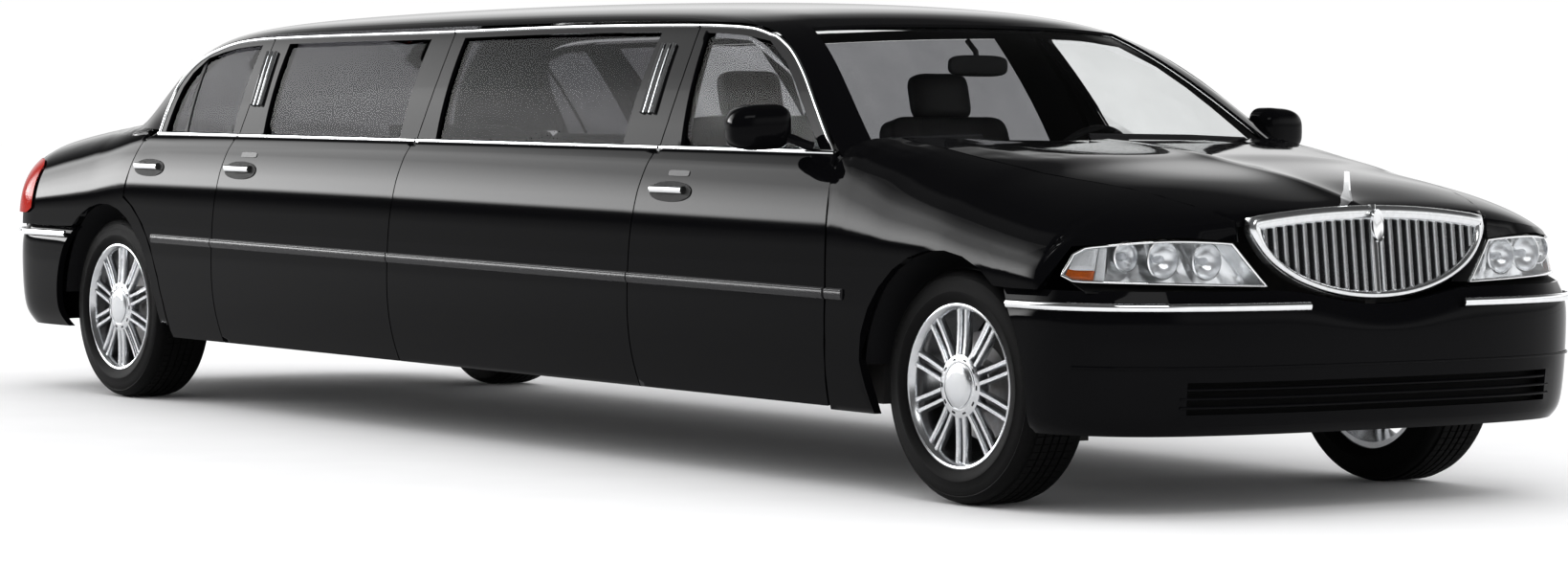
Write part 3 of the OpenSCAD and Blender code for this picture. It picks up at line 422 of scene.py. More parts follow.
def tailLine(y, z, back=0):
    return at(form["tailX"] - (form["tailLong"] - back) * (1 - (abs(y) / 992) ** 2.5) ** (1 / 2.5), y, z)


def planNormals(path):
    out = []
    for i, p in enumerate(path):
        along = path[min(i + 1, len(path) - 1)] - path[max(i - 1, 0)]
        n = along.cross(Vector((0, 0, 1))).normalized()
        out.append(n if n.dot(p - Vector((p.x * 0.55, 0, p.z))) > 0 else -n)
    return out


for hand, side in ((-1, "r"), (1, "l")):
    bm = bmesh.new()
    across = (300, 420, 540, 640, 720, 790, 850, 900, 940, 965, 980)
    path = [noseLine(hand * y, bumperStrip["frontZ"]) for y in across]
    path += [at(x, hand * plan(x), bumperStrip["frontZ"]) for x in (440, 400, 360, 318)]
    sweep(bm, path, planNormals(path), oval(*bumperStrip["section"]))
    finished(f"front_strip_{side}", bm, "body", [chrome])
bm = bmesh.new()
halfTail = [tailLine(y, bumperStrip["rearZ"]) for y in (0, 200, 400, 560, 690, 790, 870, 930)]
halfTail += [at(x, plan(x), bumperStrip["rearZ"]) for x in spread(rear - 790, rear - 306, 14)]
path = [Vector((p.x, -p.y, p.z)) for p in reversed(halfTail)] + halfTail[1:]
sweep(bm, path, planNormals(path), oval(*bumperStrip["section"]))
finished("rear_strip", bm, "body", [chrome])
print("bumper strips done")

# Wheels: built about the axle with the outer face toward -Y, then set in place
wheelSize = {"tyreR": 343, "half": 117.5, "treadSteps": 84, "treadDeep": 6, "spokePairs": 10,
             "spokeApart": 17}


def wheelPlace(wheel):
    place = Matrix.Translation(joints[f"wheel_{wheel}_spin"]["pos_m"])
    return place @ Matrix.Rotation(math.pi if wheel.endswith("l") else 0, 4, "Z")


def turned(bm, outline, steps, closed=True):  # spin an outline of (radius, y) round the Y axis
    ring = [bm.verts.new((r / 1000, y / 1000, 0)) for r, y in outline]
    edges = [bm.edges.new(pair) for pair in zip(ring, ring[1:])]
    if closed:
        edges.append(bm.edges.new((ring[-1], ring[0])))
    bmesh.ops.spin(bm, geom=ring + edges, cent=(0, 0, 0), axis=(0, 1, 0), angle=2 * math.pi, steps=steps,
                   use_merge=True, use_duplicate=False)
    bmesh.ops.remove_doubles(bm, verts=bm.verts[:], dist=0.00005)
    bmesh.ops.recalc_face_normals(bm, faces=bm.faces[:])


def tyreMesh():
    s = wheelSize
    r, h, base = s["tyreR"], s["half"], s["tyreR"] - s["treadDeep"]
    ribs = [(-72, -46), (-40, -16), (-10, 10), (16, 40), (46, 72)]
    wall = [(241, 1), (249, 7.5), (262, 10.5), (266, 13), (274, 13.5), (277, 12), (296, 11.5), (312, 8),
            (316, 6.5), (318, 7.5), (324, 4), (331, -3), (336, -10), (base, -20)]
    left = [(rad, -(h - 14 + 1 + out)) for rad, out in wall]
    tread = [(base, y) for rib in ribs for y in rib]
    right = [(rad, h - 14 + 1 + out) for rad, out in reversed(wall)]
    bm = bmesh.new()
    turned(bm, left + tread + right, s["treadSteps"])
    bm.faces.ensure_lookup_table()

    def isRib(face):
        mid = face.calc_center_median()
        flat = all(abs(math.hypot(v.co.x, v.co.z) * 1000 - base) < 0.5 for v in face.verts)
        return flat and any(a < mid.y * 1000 < b for a, b in ribs)
    blocks = [f for f in bm.faces if isRib(f)]
    bmesh.ops.inset_individual(bm, faces=blocks, thickness=0.0016, depth=(r - base) / 1000 * 0.97)
    return bm


def spokeMesh(bm):
    s = wheelSize
    face = s["half"] - 22
    section = [(-8.5, -22), (8.5, -22), (8.5, -7), (4.8, 0), (-4.8, 0), (-8.5, -7)]
    for k in range(s["spokePairs"]):
        turn = Matrix.Rotation(2 * math.pi * k / s["spokePairs"], 3, "Y")
        for side in (-1, 1):
            stations = [(64, 7), (92, 5), (130, 1.5), (180, 0), (226, 1)]
            apart = side * s["spokeApart"]
            places = [(apart * (0.82 + 0.18 * r / 226), -(face + dish), r) for r, dish in stations]
            path = [turn @ (Vector(place) / 1000) for place in places]
            sweep(bm, path, [Vector((0, -1, 0))] * len(path), section)


def discMesh():
    bm = bmesh.new()
    turned(bm, [(70, -14), (158, -14), (158, 12), (70, 12)], 72)
    turned(bm, [(30, -60), (72, -58), (78, -50), (78, 10), (30, 10)], 48)
    return bm


def wheelPieces(wheel):
    s, place = wheelSize, wheelPlace(wheel)
    body = "wheel_" + wheel
    bm = tyreMesh()
    bm.transform(place)
    finished("tyre_" + wheel + "_road", bm, body, [rubber], ("tyre_" + wheel,), 30)
    h = s["half"]
    bm = bmesh.new()
    turned(bm, [(240.5, h - 22), (240.5, 12 - h), (239, 9.5 - h), (235.5, 8.5 - h), (231, 10 - h),
                (226, 16 - h), (221, 24 - h), (218, 34 - h), (219, 60 - h), (222, 0), (222, h - 22)], 120)
    spokeMesh(bm)
    turned(bm, [(0, 4 - h), (40, 4.2 - h), (55, 5.5 - h), (60, 8 - h), (61, 12 - h), (65, 13.5 - h),
                (67, 12 - h), (71, 12 - h), (73, 13.5 - h), (86, 14.5 - h), (91, 17 - h), (92, 21 - h),
                (92, 50 - h), (0, 50 - h)], 72, False)
    bm.transform(place)
    finished("rim_" + wheel + "_face", bm, body, [polished], ("rim_" + wheel,), 28)
    bm = discMesh()
    bm.transform(place)
    finished("rim_" + wheel + "_disc", bm, body, [steel], ("rim_" + wheel,), 30)
    # Dark flush plates between the spoke pairs: painted shade standing in for notch hollows in the cap
    bm = bmesh.new()
    for k in range(s["spokePairs"]):
        slot = bmesh.ops.create_cube(bm, size=1)["verts"]
        shape = Matrix.Rotation(2 * math.pi * (k + 0.5) / s["spokePairs"], 4, "Y") \
            @ Matrix.Translation((0, (14 - h) / 1000, 0.0795)) @ Matrix.Diagonal((0.014, 0.002, 0.006, 1))
        bmesh.ops.transform(bm, matrix=shape, verts=slot)
    bm.transform(place)
    finished("rim_" + wheel + "_notch_shades", bm, body, [darkTrim], (), 30)
    # Brake caliper stays with the knuckle in front and with the axle behind
    bm = bmesh.new()
    path = [Vector((0.148 * math.cos(math.radians(a)), -0.001, 0.148 * math.sin(math.radians(a)))) for a in
            [25 + 6 * k for k in range(10)]]
    block = [(-24, -34), (24, -34), (24, 22), (14, 30), (-14, 30), (-24, 22)]
    sweep(bm, path, [Vector((0, -1, 0))] * len(path), block)
    bm.transform(place)
    holder = "steer_" + wheel[1] if wheel[0] == "f" else "body"
    finished("caliper_" + wheel, bm, holder, [chassisBlack])


for wheel in ("fr", "fl", "rr", "rl"):
    wheelPieces(wheel)
print("wheels done")

# Headlamps: lens, open housing, bowls, turn lamp and edging follow one wrapped patch
lamp = {"inner": (398, 500), "outer": (952, 912), "foot": (652, 668), "reach": (400, 378),
        "round": (966, 944), "bowls": ((677, 709, 728, 57), (709, 575, 722, 54), (640, 806, 736, 44)),
        "deep": 58, "turn": (0.905, 0.992), "turnFoot": 0.36, "divider": (0.862, 0.9)}


def browZ(y):
    x = 350 + 385 * (1 - min(1, y / 952) ** 3) ** (1 / 3)
    flat, fall = 806 - 28 * max(0, 860 - y) / 360, skinZ(x, y) - 6
    return -14 * math.log(math.exp(-flat / 14) + math.exp(-fall / 14))


def mix(a, b, s):
    return a + (b - a) * s


def lampPoint(u, v, deep, hand):  # u runs outward along the lamp, v up, deep behind the lens face
    v = 0.5 + (v - 0.5) * (1 - 0.36 * max(0, (u - 0.94) / 0.06) ** 3)  # rounded outer end
    y = mix(mix(*lamp["inner"], v), mix(*lamp["outer"], v), u)
    z = mix(mix(*lamp["foot"], u), browZ(y) - 6, v)
    bend = max(0, 1 - min(1, y / mix(*lamp["round"], v)) ** 3) ** (1 / 3)
    x = 350 + (mix(*lamp["reach"], v) - deep) * bend
    return at(x - deep * 0.35, hand * (y - deep * 0.55 * u), z)


def lampPatch(uRange, vRange, deep, hand, cells, thick=0.0, bulge=0.0):
    bm = bmesh.new()
    bmesh.ops.create_grid(bm, x_segments=cells[0], y_segments=cells[1], size=1)
    for vert in bm.verts:
        s, t = (vert.co.x + 1) / 2, (vert.co.y + 1) / 2
        swell = bulge * (1 - (2 * s - 1) ** 4) * (1 - (2 * t - 1) ** 4)
        vert.co = lampPoint(mix(*uRange, s), mix(*vRange, t), deep - swell, hand)
    if thick:
        bmesh.ops.solidify(bm, geom=bm.faces[:], thickness=thick / 1000)
    bmesh.ops.recalc_face_normals(bm, faces=bm.faces[:])
    return bm


def lampHousing(hand):  # back wall and the four sides, open at the front
    bm = bmesh.new()
    bmesh.ops.create_grid(bm, x_segments=24, y_segments=6, size=1)
    rim = [e for e in bm.edges if e.is_boundary]
    front = bmesh.ops.extrude_edge_only(bm, edges=rim)["geom"]
    frontVerts = {v for v in front if isinstance(v, bmesh.types.BMVert)}
    for vert in bm.verts:
        u, v = (vert.co.x + 1) / 2, (vert.co.y + 1) / 2
        deep = 8 if vert in frontVerts else lamp["deep"] - 8 * math.sin(u * 40) * math.sin(v * 3)
        vert.co = lampPoint(u, v, deep, hand)
    bmesh.ops.solidify(bm, geom=bm.faces[:], thickness=0.002)
    bmesh.ops.recalc_face_normals(bm, faces=bm.faces[:])
    return bm


def roundForm(outline, place, steps=40):  # outline of (radius, forward) turned about the car's X axis
    bm = bmesh.new()
    ring = [bm.verts.new((f / 1000, r / 1000, 0)) for r, f in outline]
    edges = [bm.edges.new(pair) for pair in zip(ring, ring[1:])]
    bmesh.ops.spin(bm, geom=ring + edges, cent=(0, 0, 0), axis=(1, 0, 0), angle=2 * math.pi, steps=steps,
                   use_merge=True, use_duplicate=False)
    bmesh.ops.remove_doubles(bm, verts=bm.verts[:], dist=0.00005)
    bmesh.ops.recalc_face_normals(bm, faces=bm.faces[:])
    bmesh.ops.translate(bm, verts=bm.verts[:], vec=place)
    return bm


for hand, side in ((-1, "r"), (1, "l")):
    bm = lampPatch((0, 1), (0, 1), 2, hand, (36, 12), 3)
    finished(f"headlamp_lens_{side}", bm, "body", [lensGlass], ("headlamp_lenses",), 50)
    finished(f"headlamp_housing_{side}", lampHousing(hand), "body", [bowl], ("headlamps",), 20)
    for k, (x, y, z, r) in enumerate(lamp["bowls"]):
        lean = 26 if k < 2 else 34
        cup = [(r, 4), (r - 4, 6), (r - 5, 2), (r * 0.86, -9), (r * 0.66, -21), (r * 0.42, -31), (12, -36),
               (0.01, -36)]
        place = at(x - lean, hand * y, z)
        finished(f"lamp_bowl_{k}_{side}", roundForm(cup, place), "body", [bowl], (), 30)
        bulb = [(0.01, 2), (7, 1), (11, -4), (12, -12), (9, -36)]
        finished(f"lamp_bulb_{k}_{side}", roundForm(bulb, place, 24), "body", [glow], (), 50)
    a, b = lamp["turn"]
    bm = lampPatch((a, b), (lamp["turnFoot"], 0.95), 7, hand, (10, 10), 3, 4)
    finished(f"turn_lens_{side}", bm, "body", [frosted], (), 50)
    bm = lampPatch((a, b), (0.06, lamp["turnFoot"] - 0.04), 6, hand, (10, 6), 3, 3)
    finished(f"turn_amber_{side}", bm, "body", [amber], (), 50)
    bm = lampPatch(lamp["divider"], (0.05, 0.95), 8, hand, (3, 8), 4, 2)
    finished(f"lamp_divider_{side}", bm, "body", [frosted], (), 50)
    edge = [(s / 30, 0.0) for s in range(30)] + [(1.0, s / 8) for s in range(8)] \
        + [(1 - s / 30, 1.0) for s in range(30)] + [(0.0, 1 - s / 8) for s in range(8)]
    path = [lampPoint(u, v, 2, hand) for u, v in edge]
    outward = [(lampPoint(u, v, 0, hand) - lampPoint(u, v, 20, hand)).normalized() for u, v in edge]
    bm = bmesh.new()
    sweep(bm, path, outward, oval(9, 4), closed=True)
    finished(f"lamp_edging_{side}", bm, "body", [chrome])
print("headlamps done")

# Grille: rounded surround, round-fronted bars, dark back and a plain boss on the middle rib
grilleSize = {"place": (718, 826), "tilt": 7, "wide": 438, "tall": 209, "top": 28, "bars": 23,
              "barWide": 15, "deep": 40}


def grillePoint(across, up, forward):
    tilt = math.radians(grilleSize["tilt"])
    x, z = grilleSize["place"]
    bow = 14 * (1 - (across / 460) ** 2)
    ahead = forward + bow - 14
    along = x + ahead * math.cos(tilt) - up * math.sin(tilt)
    return at(along, across, z + up * math.cos(tilt) + ahead * math.sin(tilt))


def shield(wide, tall, top, n=48):
    turns = [math.pi * (1 + k / n) for k in range(n + 1)]
    lower = [(wide * math.cos(t), tall * math.sin(t)) for t in turns]
    upper = [(wide * (1 - 2 * s), top * 4 * s * (1 - s)) for s in [k / 24 for k in range(1, 24)]]
    return lower + upper


ahead = grillePoint(0, 0, 10) - grillePoint(0, 0, 0)
bm = bmesh.new()
outline = shield(grilleSize["wide"], grilleSize["tall"], grilleSize["top"])
rings = []
for i, (a, b) in enumerate(outline):
    heavy = 1 + 0.6 * max(0, min(1, (b + 60) / 60))
    along = Vector(outline[(i + 1) % len(outline)]) - Vector(outline[i - 1])
    centre = Vector((along.y, -along.x)).normalized()
    ring = []
    for u, v in [(-12, 0), (-13, 26), (-9, 34), (-3, 38), (4, 38), (10, 33), (13, 24), (13, 0)]:
        ring.append(bm.verts.new(grillePoint(a + centre.x * u * heavy, b + centre.y * u * heavy, v)))
    rings.append([bm.edges.new((ring[k], ring[k - 1])) for k in range(len(ring))])
for one, other in zip(rings, rings[1:] + rings[:1]):
    bmesh.ops.bridge_loops(bm, edges=one + other)
bmesh.ops.recalc_face_normals(bm, faces=bm.faces[:])
finished("grille_surround", bm, "body", [satinChrome], ("grille",), 45)
bm = bmesh.new()
for k in range(grilleSize["bars"]):
    across = 400 * (2 * k / (grilleSize["bars"] - 1) - 1)
    low = -203 * math.sqrt(1 - (across / 432) ** 2)
    path = [grillePoint(across, b, 10) for b in spread(low, 24 - 10 * (across / 400) ** 2, 8)]
    sweep(bm, path, [ahead] * len(path), oval(grilleSize["barWide"], 20, 8, 0))
finished("grille_bars", bm, "body", [satinChrome], ("grille",), 45)
bm = bmesh.new()
ribPath = [grillePoint(0, b, 8) for b in spread(-200, 50, 14)]
sweep(bm, ribPath, [ahead] * len(ribPath), oval(26, 34, 10, 0))
plate = bmesh.ops.create_circle(bm, cap_ends=True, segments=40, radius=1)["verts"]
for vert in plate:
    vert.co = grillePoint(22 * vert.co.x, -12 + 47 * vert.co.y, 43)
face = plate[0].link_faces[0]
raised = bmesh.ops.extrude_face_region(bm, geom=[face])["geom"]
bmesh.ops.translate(bm, verts=[v for v in raised if isinstance(v, bmesh.types.BMVert)], vec=ahead)
lid = [f for f in raised if isinstance(f, bmesh.types.BMFace)]
bmesh.ops.inset_region(bm, faces=lid, thickness=0.005, depth=-0.003)
bmesh.ops.recalc_face_normals(bm, faces=bm.faces[:])
finished("grille_rib", bm, "body", [chrome], ("grille",), 40)
bm = bmesh.new()
back = [bm.verts.new(grillePoint(a * 0.985, b * 0.985, 2)) for a, b in outline]
bm.faces.new(back)
bmesh.ops.solidify(bm, geom=bm.faces[:], thickness=0.003)
bmesh.ops.recalc_face_normals(bm, faces=bm.faces[:])
finished("grille_back", bm, "body", [darkTrim])
print("grille done")

# Door mirrors, handles, plates, pillar bars and the divider of the rear door glass
mirrorSize = {"place": (-806, 1024, 1072), "turn": 8, "front": 54, "back": 52, "outer": 122, "inner": 80,
              "up": 76, "down": 62}


def power(value, exponent):
    return math.copysign(abs(value) ** exponent, value)


def mirrorShape(hand):
    s = mirrorSize
    bm = bmesh.new()
    bmesh.ops.create_uvsphere(bm, u_segments=40, v_segments=24, radius=1)
    place = Matrix.Translation(at(s["place"][0], hand * s["place"][1], s["place"][2])) \
        @ Matrix.Rotation(math.radians(s["turn"] * hand), 4, "Z")
    for vert in bm.verts:
        c = vert.co.copy()
        x = s["front"] * power(c.x, 0.85) if c.x > 0 else s["back"] * power(c.x, 0.25)
        out = power(c.y, 0.62)
        y = out * (s["outer"] if out > 0 else s["inner"])
        z = power(c.z, 0.62) * (s["up"] if c.z > 0 else s["down"]) + 8 * (1 - out) / 2 - 4
        vert.co = place @ Vector((x / 1000, hand * y / 1000, z / 1000))
    bmesh.ops.recalc_face_normals(bm, faces=bm.faces[:])
    return bm, place


plates = {"front_door": (-1355, 928), "mid_door": (-4085, 938)}
handles = {"front_door": (-1381, 871), "mid_door": (-4123, 882), "rear_door": (-4817, 879)}
handleSize = {"cup": (112, 32), "bar": (86, 27, 17), "rise": 5}
bars = {"body": ((-1640, -1704), (1112, 1331), 32), "mid_door": ((-4170, -4246), (1116, 1309), 30)}


def sidePlate(bm, x, z, hand, half, out, n=36, boxy=1.0):  # thin rounded plate lying on the side
    ring = bmesh.ops.create_circle(bm, cap_ends=True, segments=n, radius=1)["verts"]
    for vert in ring:
        a, b = power(vert.co.x, boxy), power(vert.co.y, boxy)
        vert.co = onSide(x + half[0] * a, z + half[1] * b, hand, -1)
    face = ring[0].link_faces[0]
    raised = bmesh.ops.extrude_face_region(bm, geom=[face])["geom"]
    lift = sideNormal(x, z, hand) * (out + 1) / 1000
    bmesh.ops.translate(bm, verts=[v for v in raised if isinstance(v, bmesh.types.BMVert)], vec=lift)
    bmesh.ops.recalc_face_normals(bm, faces=bm.faces[:])


for hand, side in ((-1, "r"), (1, "l")):
    bm, place = mirrorShape(hand)
    armEnd = at(-722, hand * 906, 1020)
    armPath = [armEnd, at(-738, hand * 928, 1028), at(-756, hand * 950, 1040), at(-780, hand * 972, 1052)]
    armShape = [(24 * math.cos(t / 8 * math.pi), 15 * math.sin(t / 8 * math.pi)) for t in range(16)]
    sweep(bm, armPath, [Vector((0, 0, 1))] * 4, armShape)
    finished(f"mirror_{side}_housing", bm, f"front_door_{side}", [paint], (f"mirror_{side}",), 50)
    bm = bmesh.new()
    glassVerts = bmesh.ops.create_circle(bm, cap_ends=True, segments=48, radius=1)["verts"]
    for vert in glassVerts:
        y, z = power(vert.co.x, 0.6) * 78 + 12, power(vert.co.y, 0.6) * 48
        vert.co = place @ Vector((-0.0505, hand * y / 1000, z / 1000))
    bmesh.ops.solidify(bm, geom=bm.faces[:], thickness=0.002)
    bmesh.ops.recalc_face_normals(bm, faces=bm.faces[:])
    finished(f"mirror_{side}_glass", bm, f"front_door_{side}", [chrome])
    for door, (x, z) in handles.items():
        # The raised near-black cup plate behind each handle is painted shade of the handle recess
        bm = bmesh.new()
        sidePlate(bm, x, z, hand, handleSize["cup"], 3, 48, 0.9)
        finished(f"handle_cup_shade_{door}_{side}", bm, f"{door}_{side}", [shadeBlack])
        wide, tall, out = handleSize["bar"]
        grip = [(x - 14 + wide * t, z + handleSize["rise"]) for t in spread(-1, 1, 12)]
        bm = bmesh.new()
        sideStrip(bm, grip, hand, oval(tall, out, 12))
        finished(f"handle_bar_{door}_{side}", bm, f"{door}_{side}", [chrome])
    for door in ("front_door", "mid_door"):
        x, z = plates[door]
        bm = bmesh.new()
        sidePlate(bm, x, z, hand, (56, 9), 3, 32, 0.4)
        finished(f"plain_plate_{door}_{side}", bm, f"{door}_{side}", [greyStrip])
    for holder, ((x0, x1), (z0, z1), apart) in bars.items():
        bm = bmesh.new()
        for k in range(3):
            line = [(mix(x0, x1, t ** 1.2) - apart * k, mix(z0, z1, t)) for t in spread(0, 1, 12)]
            sideStrip(bm, line, hand, oval(15, 13, 8))
        body = holder if holder == "body" else f"{holder}_{side}"
        finished(f"pillar_bars_{holder}_{side}", bm, body, [chrome])
    bm = bmesh.new()
    line = [(mix(-4670, -4761, t), mix(1016, 1292, t)) for t in spread(0, 1, 10)]
    sideStrip(bm, line, hand, [(-9, -13), (9, -13), (9, -7), (-9, -7)])
    finished(f"glass_divider_{side}", bm, f"rear_door_{side}", [darkTrim])
print("side details done")

# Tail lamps run round onto the side, and dark shelves of painted shade close the slots under the lamps and the
# trunk lid
tailLamp = {"inner": 690, "foot": 692, "top": 896, "deep": (452, 443), "out": 8}


def tailPoint(u, z, hand):  # u runs from the inner end to the side
    inner = math.acos((tailLamp["inner"] / form["halfWidth"]) ** 1.25)
    turn = inner * (1 - u)
    deep = mix(*tailLamp["deep"], min(1, math.sin(turn) * 1.6))
    x = form["tailX"] - deep * math.sin(turn) ** 0.8
    shape = skinY(max(x, rear - 800), z) / plan(max(x, rear - 800))
    return at(x, hand * (shape * form["halfWidth"] * math.cos(turn) ** 0.8 + tailLamp["out"]), z)


for hand, side in ((-1, "r"), (1, "l")):
    bm = bmesh.new()
    bmesh.ops.create_grid(bm, x_segments=40, y_segments=12, size=1)
    for vert in bm.verts:
        u, v = (vert.co.x + 1) / 2, (vert.co.y + 1) / 2
        v = 0.5 + (v - 0.5) * (1 - 0.2 * max(0, (u - 0.9) / 0.1) ** 3)
        vert.co = tailPoint(u, mix(tailLamp["foot"], tailLamp["top"], v), hand)
    bmesh.ops.solidify(bm, geom=bm.faces[:], thickness=0.006)
    bmesh.ops.recalc_face_normals(bm, faces=bm.faces[:])
    finished(f"tail_lens_{side}", bm, "body", [tailRed], ("tail_lamps",), 40)
    # Near-black shelf under each headlamp: painted shade of the slot between lamp and bumper
    bm = bmesh.new()
    bmesh.ops.create_grid(bm, x_segments=24, y_segments=2, size=1)
    for vert in bm.verts:
        u, v = (vert.co.x + 1) / 2, (vert.co.y + 1) / 2
        upper = lampPoint(u, 0, 40, hand) - Vector((0, 0, 0.002))
        lower = noseLine(abs(upper.y) * 1000 * hand, 638, 70)
        vert.co = upper.lerp(lower, v)
    bmesh.ops.solidify(bm, geom=bm.faces[:], thickness=0.003)
    bmesh.ops.recalc_face_normals(bm, faces=bm.faces[:])
    finished(f"lamp_slot_shade_{side}", bm, "body", [shadeBlack], (), 40)
# Near-black shelf across the tail: painted shade of the slot under the trunk lid
bm = bmesh.new()
bmesh.ops.create_grid(bm, x_segments=40, y_segments=2, size=1)
for vert in bm.verts:
    vert.co = tailLine(vert.co.x * 930, mix(630, 712, (vert.co.y + 1) / 2), 84)
bmesh.ops.solidify(bm, geom=bm.faces[:], thickness=0.003)
bmesh.ops.recalc_face_normals(bm, faces=bm.faces[:])
finished("tail_slot_shade", bm, "body", [shadeBlack], (), 40)
print("tail lamps and shelves done")

# Lower intake bars with a dark back of painted shade, and the fine crease above them
intake = {"half": 716, "bars": (320, 345, 370), "foot": 298, "top": 394, "creaseZ": 431}
bm = bmesh.new()
for z in intake["bars"]:
    path = [noseLine(y, z, 16) for y in spread(-intake["half"], intake["half"], 40)]
    sweep(bm, path, planNormals(path), oval(11, 9))
finished("intake_bars", bm, "body", [paint])
# Near-black sheet behind the intake bars: painted shade of the intake opening
bm = bmesh.new()
bmesh.ops.create_grid(bm, x_segments=40, y_segments=2, size=1)
for vert in bm.verts:
    high = mix(intake["foot"], intake["top"], (vert.co.y + 1) / 2)
    vert.co = noseLine(vert.co.x * intake["half"], high, 46)
bmesh.ops.solidify(bm, geom=bm.faces[:], thickness=0.003)
bmesh.ops.recalc_face_normals(bm, faces=bm.faces[:])
finished("intake_shade_back", bm, "body", [shadeBlack])
bm = bmesh.new()
path = [noseLine(y, intake["creaseZ"]) for y in spread(-960, 960, 60)]
sweep(bm, path, planNormals(path), oval(7, 1.6))
finished("bumper_crease", bm, "body", [paint])
print("intake done")

# Seats: crowned cushions with sewn channels, set where the part's plain blocks are
seats = {"floor": 420.8, "thick": 150, "lean": -14, "crown": 16, "pull": 9, "groove": 9, "inset": 6}


def cushion(name, size, place, channels, node, boxy=9):  # crown faces local +Z; channels run along X
    bm = bmesh.new()
    bmesh.ops.create_cube(bm, size=2)
    bmesh.ops.subdivide_edges(bm, edges=bm.edges[:], cuts=17, use_grid_fill=True)
    half = [(v / 2) - seats["inset"] for v in size]
    for vert in bm.verts:
        x, y, z = vert.co
        keep = (abs(x) ** boxy + abs(y) ** boxy + abs(z) ** boxy) ** (-1 / boxy)
        x, y, z = x * keep, y * keep, z * keep
        swell = (1 - x ** 4) * (1 - y ** 4)
        high = half[2] * z - (seats["crown"] * (1 - swell) if z > 0 else 0)
        for c in channels:
            high -= seats["groove"] * math.exp(-((y - c) * half[1] / 11) ** 2) * max(0, z) ** 2
        side = (1 - z * z) * seats["pull"]
        along, across = x * (half[0] - side * (1 - y * y)), y * (half[1] - side * (1 - x * x))
        vert.co = place @ (Vector((along, across, high)) / 1000)
    bmesh.ops.recalc_face_normals(bm, faces=bm.faces[:])
    piece = finished(name, bm, "body", [leather], (node,), 60)
    smooth = piece.modifiers.new("soft", "SUBSURF")
    smooth.levels = smooth.render_levels = 1


def flat(x, y, z):
    return Matrix.Translation(at(x, y, z))


def leaning(x, y, z, up, forward):  # a cushion standing on (x, z), crown toward +X
    turn = Matrix.Rotation(math.radians(seats["lean"]), 4, "Y")
    upright = Matrix.Rotation(math.pi / 2, 4, "Y")
    return flat(x, y, z) @ turn @ Matrix.Translation((forward / 1000, 0, up / 1000)) @ upright


# Hip and back places of the front seats, the rear bench and the side bench
seatPlaces = {"side": 390, "hip": -1420, "back": -1682, "benchHip": rear + 745, "benchBack": rear + 498,
              "sideX": rear + 2050, "sideHip": 540, "sideBack": 680}
base, top = seats["floor"], seats["floor"] + seats["thick"]
hipZ = base + seats["thick"] / 2
for y, side in ((-seatPlaces["side"], "r"), (seatPlaces["side"], "l")):
    back = seatPlaces["back"]
    hip = flat(seatPlaces["hip"], y, hipZ)
    cushion(f"seat_base_{side}", (540, 520, 150), hip, (-0.55, 0.55), "front_seats")
    shoulders, head = leaning(back, y, top, 270, 65), leaning(back, y, top, 603, 65.5)
    cushion(f"seat_back_{side}", (540, 520, 130), shoulders, (-0.55, 0.55), "front_seats")
    cushion(f"seat_head_{side}", (186, 260, 95), head, (), "front_seats", 4)
hip, back = flat(seatPlaces["benchHip"], 0, hipZ), leaning(seatPlaces["benchBack"], 0, top, 240, 60)
cushion("bench_base", (510, 1280, 150), hip, (-0.34, 0.34), "lounge_seats")
cushion("bench_back", (480, 1280, 120), back, (-0.34, 0.34), "lounge_seats")
quarter = Matrix.Rotation(math.pi / 2, 4, "Z")
hip = flat(seatPlaces["sideX"], seatPlaces["sideHip"], hipZ) @ quarter
back = flat(seatPlaces["sideX"], seatPlaces["sideBack"], top + 190) @ quarter.inverted() \
    @ Matrix.Rotation(math.pi / 2, 4, "Y")
cushion("side_bench_base", (360, 1900, 150), hip, (-0.5, 0, 0.5), "lounge_seats")
cushion("side_bench_back", (380, 1900, 80), back, (-0.5, 0, 0.5), "lounge_seats")

# Carpeted panel that closes the cabin behind the bench
bulkhead = {"x": rear + 300, "z": 690, "thick": 8, "wide": 1320, "tall": 480}
bm = bmesh.new()
bmesh.ops.create_cube(bm, size=1)
for vert in bm.verts:
    x, z = bulkhead["x"] + vert.co.x * bulkhead["thick"], bulkhead["z"] + vert.co.z * bulkhead["tall"]
    vert.co = at(x, vert.co.y * bulkhead["wide"], z)
bmesh.ops.recalc_face_normals(bm, faces=bm.faces[:])
finished("rear_bulkhead", bm, "body", [carpet], (), 30)
print("seats done")

# Cabin mirror on a short stem from the windscreen
cabinMirror = {"place": (-1073, 0, 1272), "half": (16, 118, 34), "stem": (-1128, 0, 1352)}
bm = bmesh.new()
bmesh.ops.create_uvsphere(bm, u_segments=32, v_segments=20, radius=1)
for vert in bm.verts:
    c = [power(v, 0.55) * h for v, h in zip(vert.co, cabinMirror["half"])]
    vert.co = at(cabinMirror["place"][0] + c[0], c[1], cabinMirror["place"][2] + c[2])
stem = [at(*cabinMirror["place"]), at(-1086, 0, 1318), at(*cabinMirror["stem"])]
stemShape = [(9 * math.cos(t * math.pi / 6), 9 * math.sin(t * math.pi / 6)) for t in range(12)]
sweep(bm, stem, [Vector((1, 0, 0))] * 3, stemShape)
finished("cabin_mirror", bm, "body", [darkTrim], (), 50)

